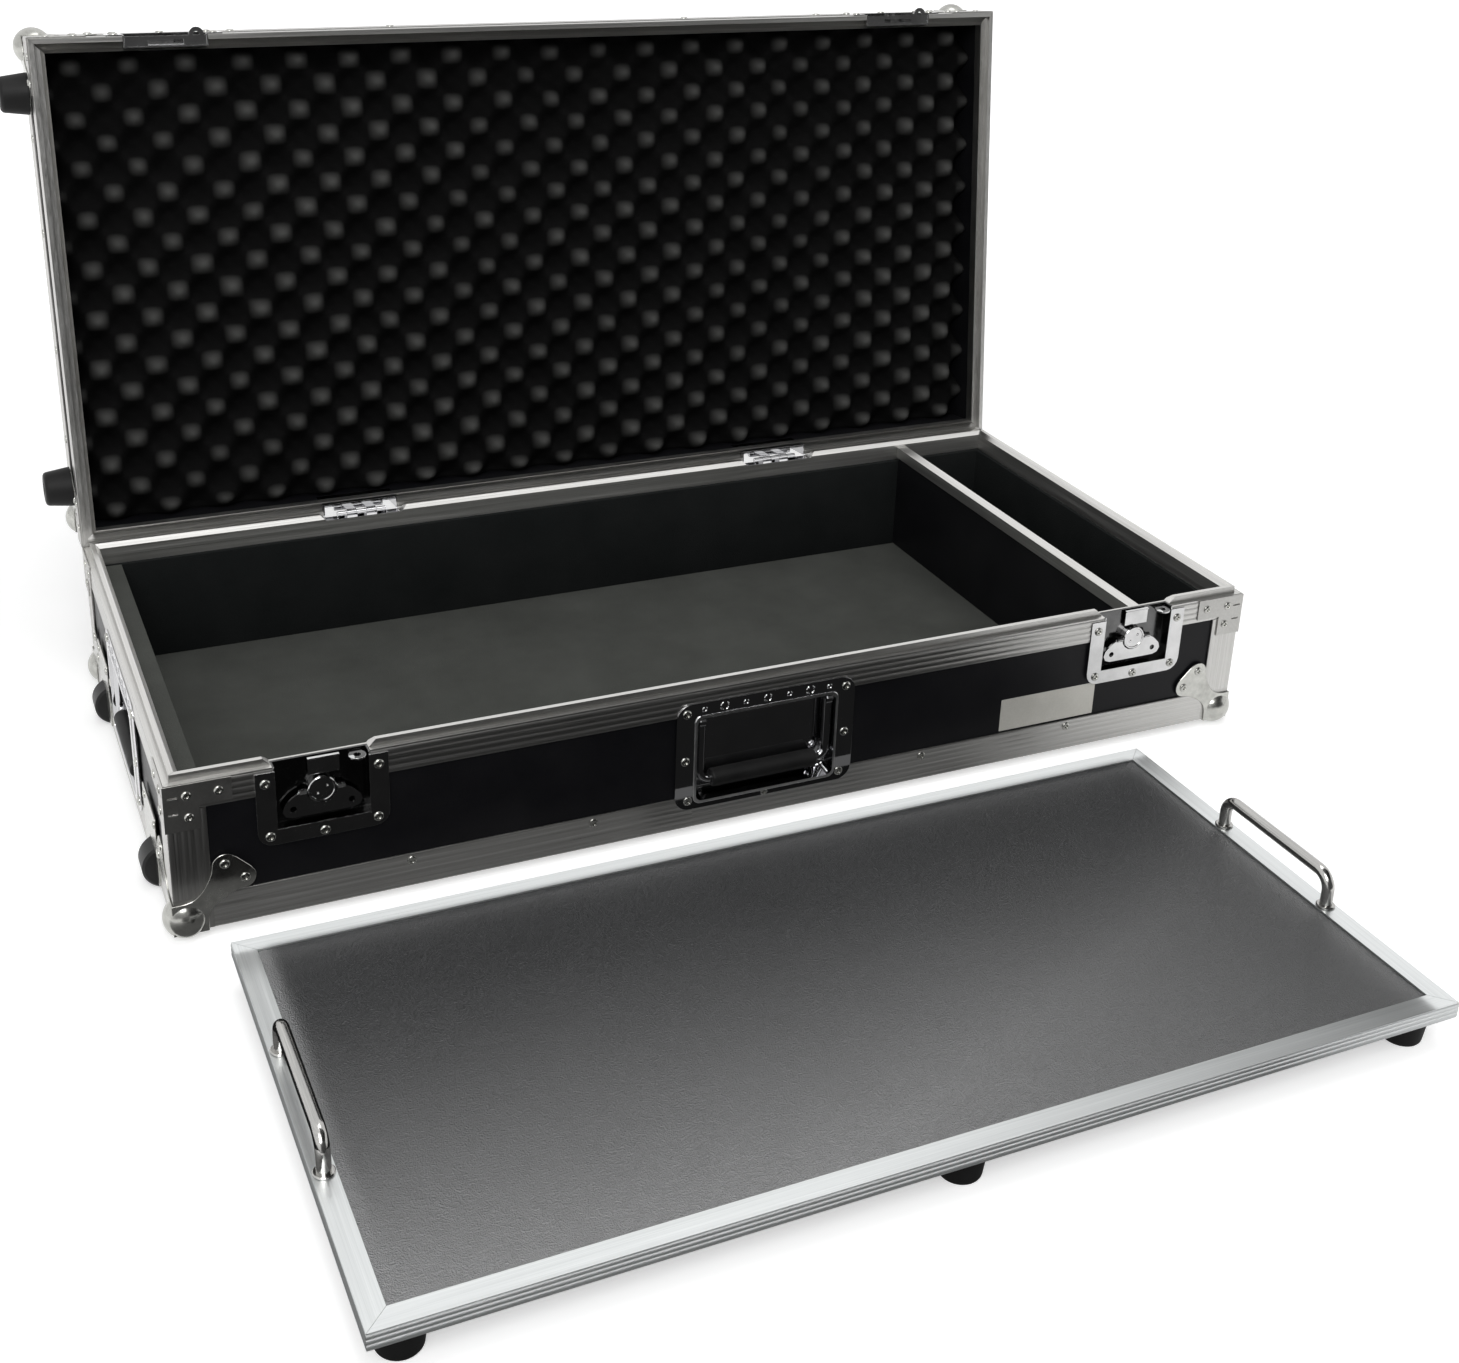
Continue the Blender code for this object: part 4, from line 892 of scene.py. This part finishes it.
def ballCorners():
    model = ballCorner()
    for level, up, prefix, onLid in ((case["foot"], 1, "base", False), (lidTop, -1, "lid", True)):
        for x, sideName in ((-1, "left"), (1, "right")):
            for y, depthName in ((-1, "front"), (1, "back")):
                place = caseFrame @ Matrix.Translation((x * caseWidth / 2, y * caseDepth / 2, level))
                place = place @ Matrix.Diagonal((-x, -y, up, 1))
                piece = copyOf(model, f"{prefix}Ball{depthName.title()}{sideName.title()}")
                moved(piece, lidTurn @ place if onLid else place)
                node = f"{prefix}_ball_corner_{depthName}_{sideName}"
                finished(piece, prefix, surfaces["zincPlate"], [node])
    bpy.data.objects.remove(model, do_unlink=True)


ballCorners()
print("ball corners made")

# Latches, hinges, wheels and the other pressed hardware
for side in ("left", "right"):
    for part, body, width in (
        ("latch_dish", "base", 0.0005), ("latch_wing", f"{side}_wing", 0.0004),
        ("latch_hook", f"{side}_hook", 0.0003), ("lid_catch", "lid", 0.0005),
    ):
        piece = softenedNode(f"{side}_{part}", body, surfaces["latchChrome"], width)
        if part == "latch_dish":
            # the dish's faces deeper than 0.6 mm in from the case's face take a dark chrome: painted shade inside the
            # recess
            repaint(piece, surfaces["shadedChrome"], lambda spot: spot.y > rimLow.y + 0.0006)
    for part, body in (("hinge_base_leaf", "base"), ("hinge_lid_leaf", "lid")):
        softenedNode(f"{side}_{part}", body, surfaces["brightChrome"], 0.0003)
for end in ("front", "back"):
    softenedNode(f"{end}_wheel_cup", "base", surfaces["zincPlate"], 0.0004)
    softenedNode(f"{end}_wheel", f"{end}_wheel", surfaces["wheelPlastic"], 0.001, 3)

knob = {"radius": 0.0113, "front": 0.002, "back": 0.0091, "holeRadius": 0.0013, "holeOffset": 0.0048, "drop": 0.0282}


def latchKnobs():
    for side, name in ((-1, "left"), (1, "right")):
        place = wallFrame("front") @ Matrix.Translation((side * case["latchOffset"], 0, ledge - knob["drop"]))
        r, front, back = knob["radius"], knob["front"], knob["back"]
        profile = (
            (0, front + 0.0005), (r - 0.0022, front + 0.0005), (r - 0.0018, front), (r - 0.0006, front),
            (r, front + 0.0006), (r, back), (0, back),
        )
        disc = spun("knob", profile, 48, "y")
        holes = []
        for way in (-1, 1):
            spot = (way * knob["holeOffset"] * 0.8, 0, way * knob["holeOffset"] * 0.6)
            rim = ((0, front - 0.002), (knob["holeRadius"], front - 0.002), (knob["holeRadius"], front + 0.002))
            holes.append(spun("hole", (*rim, (0, front + 0.002)), 16, "y", spot))
        combined(disc, "DIFFERENCE", *holes)
        pin = ((0, -0.0177), (0.0012, -0.0177), (0.0012, 0.0177), (0, 0.0177))
        bar = spun("pin", pin, 16, "x", (0, 0.004, 0))
        whole = moved(joined(f"{name}LatchKnob", [disc, bar]), place)
        finished(whole, f"{name}_spindle", surfaces["latchChrome"], [f"{name}_latch_spindle"])


latchKnobs()
print("latches and hinges made")

# Recessed handles: a pressed dish with a raised lip, a bail and a moulded grip
grab = {
    "halfWidth": 0.0845, "bottom": 0.026, "top": 0.128, "corner": 0.014,
    "mouthHalf": 0.0668, "mouthLow": 0.0322, "mouthHigh": 0.1152, "mouthCorner": 0.007,
    "lipWidth": 0.0022, "lipRise": 0.0012, "depth": 0.0118, "draft": 0.9,
    "pivot": 0.1085, "bailInset": 0.0034, "bailHalf": 0.060, "bar": 0.051, "bend": 0.009,
    "bailRadius": 0.004, "gripRadius": 0.008, "gripHalf": 0.050,
    "bosses": ((-0.0590, 0.0026), (-0.0405, 0.0044), (-0.0205, 0.0026), (0, 0.0040), (0.0205, 0.0026),
               (0.0405, 0.0044), (0.0590, 0.0026)),
}


def handleDish(name, wall, node):
    outline = roundedOutline((-grab["halfWidth"], grab["bottom"]), (grab["halfWidth"], grab["top"]), grab["corner"])
    dish = bevelled(plate(name, outline, -plateFace, -case["gap"]), 0.0004, 2)
    mouth = roundedOutline(
        (-grab["mouthHalf"] - grab["lipWidth"] / 2, grab["mouthLow"] - grab["lipWidth"] / 2),
        (grab["mouthHalf"] + grab["lipWidth"] / 2, grab["mouthHigh"] + grab["lipWidth"] / 2), grab["mouthCorner"],
    )
    lip = bevelled(plate("lip", mouth, -plateFace - grab["lipRise"], -case["gap"]), 0.0008, 3)
    tub = bevelled(plate("tub", mouth, -plateFace / 2, grab["depth"] + case["plate"]), 0.0015, 2)
    combined(dish, "UNION", lip, tub)
    opening = roundedOutline(
        (-grab["mouthHalf"] + 0.001, grab["mouthLow"] + 0.001), (grab["mouthHalf"] - 0.001, grab["mouthHigh"] - 0.001),
        grab["mouthCorner"] - 0.001, 14,
    )
    hollow = plate("hollow", opening, -0.006, grab["depth"])
    middle = (grab["mouthLow"] + grab["mouthHigh"]) / 2
    for spot in hollow.data.vertices:
        if spot.co.y > 0:
            spot.co.x *= 0.97
            spot.co.z = middle + (spot.co.z - middle) * grab["draft"]
    bevelled(hollow, 0.003, 6, 50)
    combined(dish, "DIFFERENCE", hollow)
    bosses = []
    for x, radius in grab["bosses"]:
        face = -plateFace
        profile = (
            (0, 0.0009), (radius, 0.0009), (radius, face - 0.0001), (radius - 0.0004, face - 0.0006),
            (radius - 0.0010, face - 0.0006), (radius - 0.0016, face + 0.0001), (0, face + 0.0002),
        )
        bosses.append(spun("boss", profile, 20, "y", (x, 0, 0.1212)))
    whole = joined(name, [dish, *bosses])
    finished(whole, "base", surfaces["brightChrome"], [node])
    # the raised lip's front faces take a paler, rougher chrome: a painted highlight along the lip
    repaint(whole, surfaces["wornChrome"], lambda spot: spot.y < -plateFace - 0.0002 and spot.z < grab["mouthHigh"])
    return moved(whole, wallFrame(wall))


def handleBail(name, wall, body, node):
    pivot, bar, bend, half = grab["pivot"], grab["bar"], grab["bend"], grab["bailHalf"]
    turn = arc((half - bend, bar + bend), bend, 0, -90, 8)
    side = [(0.0665, pivot), (half + 0.0012, pivot), (half, pivot - 0.0018), (half, pivot - 0.006), *turn]
    flat = side + [(-x, z) for x, z in reversed(side)]
    radii = [0.0026, 0.0026] + [grab["bailRadius"]] * (len(side) - 2)
    route = [(x, grab["bailInset"], z) for x, z in flat]
    bail = tube(name, route, radii + radii[::-1])
    collars = []
    for way in (-1, 1):
        ring = ((0, -0.003), (0.0052, -0.003), (0.0058, -0.0022), (0.0058, 0.0022), (0.0052, 0.003), (0, 0.003))
        collars.append(spun("collar", ring, 24, "x", (way * half, grab["bailInset"], pivot)))
    whole = moved(joined(name, [bail, *collars]), wallFrame(wall))
    return finished(whole, body, surfaces["brightChrome"], [node])


def handleGrip(name, wall, body, node):
    radius, half, edge = grab["gripRadius"], grab["gripHalf"], 0.0022
    inner = grab["bailRadius"] + case["gap"]
    end = arc((half - edge, radius - edge), edge, 0, 90, 4)
    outer = [(r, x) for x, r in end]
    profile = [(inner, half)] + outer + [(r, -x) for r, x in reversed(outer)] + [(inner, -half)]
    grip = spun(name, profile, 40, "x", (0, grab["bailInset"], grab["bar"]))
    return finished(moved(grip, wallFrame(wall)), body, surfaces["mouldedRubber"], [node])


for wall, prefix in (("front", "front"), ("left", "end")):
    handleDish(f"{prefix}HandleDish", wall, f"{prefix}_handle_dish")
    handleBail(f"{prefix}HandleBail", wall, f"{prefix}_bail", f"{prefix}_handle_bail")
    handleGrip(f"{prefix}HandleGrip", wall, f"{prefix}_bail", f"{prefix}_handle_grip")
print("handles made")

# Rivets, one dimpled head copied to every place
rivet = {
    "radius": 0.0041,
    # shares of the radius: out from the axis, then up from the plate
    "profile": ((0, -0.1), (1, -0.1), (1, 0.08), (0.93, 0.2), (0.76, 0.31), (0.58, 0.36), (0.47, 0.36),
                (0.42, 0.31), (0.40, 0.02), (0, 0.02)),
    "sides": 20,
}


def rivetHeads(name, body, material, places):
    profile = [(share * rivet["radius"], -rise * rivet["radius"]) for share, rise in rivet["profile"]]
    head = spun("rivetHead", profile, rivet["sides"], "y")
    heads = []
    for wall, onLid, x, z, proud, size in places:
        place = wallFrame(wall, onLid) @ Matrix.Translation((x, -proud, z)) @ Matrix.Diagonal((size, size, size, 1))
        heads.append(copyOf(head, "rivetCopy", place))
    bpy.data.objects.remove(head, do_unlink=True)
    return finished(joined(name, heads), body, material)


def rivetPlaces():
    base, lid = [], []
    foot = case["foot"]
    for side in (-1, 1):
        latch, hingeX = side * case["latchOffset"], side * case["hingeOffset"]
        for x, z in ((-0.0443, 0.1265), (0.0443, 0.1265), (-0.0425, 0.0795), (0.0425, 0.0795), (0, 0.0765)):
            base.append(("front", False, latch + x, z, plateFace, 1))
        for x, z in ((-0.0437, 0.1275), (0.0437, 0.1275), (-0.0405, 0.1005), (0.0405, 0.1005), (0, 0.0990)):
            base.append(("back", False, hingeX + x, z, plateFace, 0.85))
        for x, z in ((-0.0443, 0.0115), (0.0443, 0.0115), (-0.0425, 0.0380), (0.0425, 0.0380), (0, 0.0385)):
            lid.append(("front", True, latch + x, parting + z, plateFace, 0.95))
            lid.append(("back", True, hingeX + x, parting + z, plateFace, 0.85))
        for x in (0.1578, 0.3135):
            for wall in ("front", "back"):
                base.append((wall, False, side * x, 0.032, 0.0004, 1))
                lid.append((wall, True, side * x, lidTop - 0.024, 0.0004, 1))
        for x in (0.070, 0.180):
            base.append(("right", False, side * x, 0.032, 0.0004, 1))
            lid.append(("left", True, side * x * 0.8, lidTop - 0.024, 0.0004, 1))
            lid.append(("right", True, side * x, lidTop - 0.024, 0.0004, 1))
        for wall in ("front", "left"):
            for x, z in ((0.0752, 0.1190), (0.0757, 0.0740), (0.0725, 0.0350)):
                base.append((wall, False, side * x, z, plateFace, 1))
        for way in (-1, 1):
            base.append(("left", False, side * 0.145 + way * 0.0205 * (1 if way == side else 1.45), 0.0655,
                         plateFace, 0.8))
    for wall in ("front", "left"):
        base.append((wall, False, 0, 0.0292, plateFace, 0.8))
    for wall, (_, _, length) in walls.items():
        for side in (-1, 1):
            end = side * length / 2
            for x, z in ball["rivets"]:
                base.append((wall, False, end - side * x, foot + z, plateFace, 1))
                lid.append((wall, True, end - side * x, lidTop - z, plateFace, 1))
            for x, z in ((0.016, 0.129), (0.017, 0.110), (0.040, 0.129)):
                base.append((wall, False, end - side * x, z, plateFace, 0.95))
            for x, z in ((0.016, 0.0108), (0.040, 0.0108)):
                lid.append((wall, True, end - side * x, parting + z, plateFace, 0.85))
    return base, lid


baseRivets, lidRivets = rivetPlaces()
rivetHeads("baseRivets", "base", surfaces["zincPlate"], baseRivets)
rivetHeads("lidRivets", "lid", surfaces["zincPlate"], lidRivets)
print("rivets made")

# Soft pieces

def smoothStep(value):
    value = max(0, min(1, value))
    return value * value * (3 - 2 * value)


def eggCrate():
    # Rounded bumps on a square grid, like a chessboard, in a lid that is drawn shut
    low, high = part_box("lid_foam")
    width = high.x - low.x
    depth = caseDepth - 2 * 0.0111
    columns, rows = round(width / crate["pitch"]), round(depth / crate["rowPitch"])
    back = parting + crate["back"]
    bpy.ops.mesh.primitive_grid_add(
        x_subdivisions=columns * crate["steps"], y_subdivisions=rows * crate["steps"], size=1
    )
    foam = bpy.context.object
    foam.name = "eggCrateFoam"
    foam.data.transform(foam.matrix_world)
    foam.matrix_world = Matrix()
    centre = caseFrame.translation
    for spot in foam.data.vertices:
        u, v = (spot.co.x + 0.5) * columns, (spot.co.y + 0.5) * rows + crate["rowShift"]
        wave = math.cos(math.pi * u) * math.cos(math.pi * v)
        lift = (0.5 + 0.5 * wave) ** crate["shape"]
        x, y = spot.co.x * width, spot.co.y * depth
        near = min(width / 2 - abs(x), depth / 2 - abs(y))
        drift = noise.noise(Vector((x * 5, y * 5, 0.3))) * 0.0022 + noise.noise(Vector((x * 34, y * 34, 1.7))) * 0.0016
        height = crate["valley"] + (crate["peak"] - crate["valley"]) * lift + drift * (0.4 + lift)
        height -= 0.006 * (1 - smoothStep(near / crate["edge"]))
        slip = noise.noise_vector(Vector((x * 13, y * 13, 2.1))) * crate["wander"] * smoothStep(near / crate["edge"])
        spot.co = (centre.x + x + slip.x, centre.y + y + slip.y, back - height)
    editOn(foam, everything=True)
    bpy.ops.mesh.extrude_region_move()
    editOff()
    for spot in foam.data.vertices:
        if spot.select:
            spot.co.z = back
    editOn(foam, everything=True)
    bpy.ops.mesh.normals_make_consistent(inside=False)
    editOff()
    moved(foam, lidTurn)
    finished(foam, "lid", surfaces["blackFoam"], ["lid_foam"], 180, even=False)


def foamSheet(name, node, body, material, width, wave):
    # A CAD foam solid with rounded edges and a slightly uneven surface
    sheet = bevelled(copyOfNode(node, name), width, 3, 60)
    editOn(sheet, everything=True)
    bpy.ops.mesh.quads_convert_to_tris()
    bpy.ops.mesh.subdivide(number_cuts=1)
    editOff()
    for spot in sheet.data.vertices:
        spot.co += noise.noise_vector(spot.co * 14) * wave
    finished(sheet, body, material, [node], 60, even=False)
    return sheet


eggCrate()
foamSheet("floorAndEndFoam", "floor_and_end_foam", "base", surfaces["greyFoam"], 0.0014, 0.0002)
foamSheet("wallLiningFoam", "wall_lining", "base", surfaces["liningCloth"], 0.0012, 0.0002)
print("foams made")

sticker = {"left": 0.2405, "right": 0.343, "bottom": 0.0395, "top": 0.0718, "thickness": 0.0002}


def blankSticker():
    # The paper label at the right end of the front panel, left blank
    outline = roundedOutline((sticker["left"], sticker["bottom"]), (sticker["right"], sticker["top"]), 0.0006, 2)
    back = case["panelInset"]
    paper = moved(plate("blankSticker", outline, back - sticker["thickness"], back + 0.0001), wallFrame("front"))
    finished(paper, "base", surfaces["silverPaper"])


blankSticker()
# Divider and the lid's rubber feet
softenedNode("divider_cap", "base", surfaces["aluminiumAlongY"], 0.0002)

buffer = {"radius": 0.019, "tip": 0.0165, "height": 0.025, "edge": 0.004, "offset": 0.1865, "rise": 0.0417}


def lidFeet():
    for side, name in ((-1, "front"), (1, "back")):
        high, edge = buffer["height"], buffer["edge"]
        profile = [(0, high - 0.004), (0.0042, high - 0.004), (0.0046, high - 0.0012), (0.0066, high)]
        profile += [(r, z) for z, r in arc((high - edge, buffer["tip"] - edge), edge, 0, 90, 5)]
        profile += [(buffer["radius"], 0.002), (buffer["radius"], 0), (0, 0)]
        screw = spun("screw", ((0, high - 0.0042), (0.0036, high - 0.0042), (0.0034, high - 0.0026), (0.0012, high - 0.0022),
                               (0, high - 0.003)), 24)
        foot = spun("foot", profile, 56)
        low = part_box(f"lid_{name}_end_foot")[1].x
        turn = Matrix.Translation((low, 0, 0)) @ Matrix.Rotation(-math.pi / 2, 4, "Y")
        spot = Vector((0, side * buffer["offset"] + caseFrame.translation.y, parting + buffer["rise"]))
        place = lidTurn @ Matrix.Translation(spot) @ turn
        piece = moved(joined(f"lidFoot{name.title()}", [foot]), place)
        finished(piece, "lid", surfaces["mouldedRubber"], [f"lid_{name}_end_foot"])
        finished(moved(screw, place), "lid", surfaces["zincPlate"]).name = f"lidFootScrew{name.title()}"


lidFeet()

# Pedalboard
edgingLow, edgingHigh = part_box("board_edging")
board = {
    "face": 0.016, "height": edgingHigh.z - edgingLow.z, "ridges": 3,
    "barRadius": 0.005, "halfSpan": 0.0635, "barHeight": 0.031, "bend": 0.013,
    "footInset": 0.025, "footRadius": 0.018, "footTip": 0.0155,
}


def boardEdging():
    centre = (edgingLow + edgingHigh) / 2
    size = edgingHigh - edgingLow
    for wall, (turn, _, _) in walls.items():
        along = "X" if wall in ("front", "back") else "Y"
        bar = copyOfNode("board_edging", f"boardEdging{wall.title()}", whole=False)
        mitredBar(bar, centre, size.x, size.y, turn)
        bevelled(wholeFaces(bar), 0.0003)
        length = size.x if along == "X" else size.y
        across = size.y if along == "X" else size.x
        place = Matrix.Translation((centre.x, centre.y, 0)) @ Matrix.Rotation(math.radians(turn), 4, "Z")
        place = place @ Matrix.Translation((0, -across / 2, 0))
        band = ridgeBand(-length / 2, length / 2, edgingLow.z + 0.0008, board["height"] - 0.0016, board["ridges"], place)
        whole = joined(f"boardEdging{wall.title()}", [bar, band])
        finished(whole, "board", surfaces[f"paleAluminium{along}"], ["board_edging"], 50)


def boardHandles():
    for name in ("left", "right"):
        low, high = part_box(f"board_{name}_handle")
        centre = (low + high) / 2
        bar = low.z + board["barHeight"] - board["barRadius"]
        turn = arc((board["halfSpan"] - board["bend"], bar - board["bend"]), board["bend"], 0, 90, 10)
        half = [(board["halfSpan"], low.z), *turn]
        route = [(centre.x, centre.y + y, z) for y, z in half + [(-y, z) for y, z in reversed(half)]]
        bow = tube("bow", route, [board["barRadius"]] * len(route), 8)
        collars = []
        for side in (-1, 1):
            ring = ((0, 0), (0.0075, 0), (0.0075, 0.0008), (0.0068, 0.0014), (0, 0.0014))
            collars.append(spun("collar", ring, 32, "z", (centre.x, centre.y + side * board["halfSpan"], low.z)))
        whole = joined(f"board{name.title()}Bow", [bow, *collars])
        finished(whole, "board", surfaces["stainlessBow"], [f"board_{name}_handle"])


def boardFeet():
    for depthName in ("front", "back"):
        for name in ("left", "middle", "right"):
            node = f"board_foot_{depthName}_{name}"
            low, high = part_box(node)
            tip, radius, top = board["footTip"], board["footRadius"], high.z
            edge = 0.003
            profile = [(0, 0.003), (0.0045, 0.003), (0.0052, 0.0004), (0.0066, 0)]
            profile += [(r, z) for r, z in arc((tip - edge, edge), edge, -90, 0, 4)]
            profile += [(radius, top - 0.002), (radius, top), (0, top)]
            foot = spun(f"boardFoot{depthName.title()}{name.title()}", profile, 40, "z",
                        ((low.x + high.x) / 2, (low.y + high.y) / 2, 0))
            finished(foot, "board", surfaces["mouldedRubber"], [node])


boardEdging()
boardHandles()
boardFeet()
print("pedalboard made")

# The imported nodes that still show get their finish
nodeFinishes = {
    "blackLaminate": (
        "base_bottom_panel", "base_front_panel", "base_back_panel", "base_left_panel", "base_right_panel",
        "lid_top_panel", "lid_wall_frame", "divider_panel",
    ),
    "boardLaminate": ("board_panel",),
}
for finish, nodes in nodeFinishes.items():
    for node in nodes:
        frame["nodes"][node].data.materials.clear()
        frame["nodes"][node].data.materials.append(surfaces[finish])
print("panels finished")

deselect()
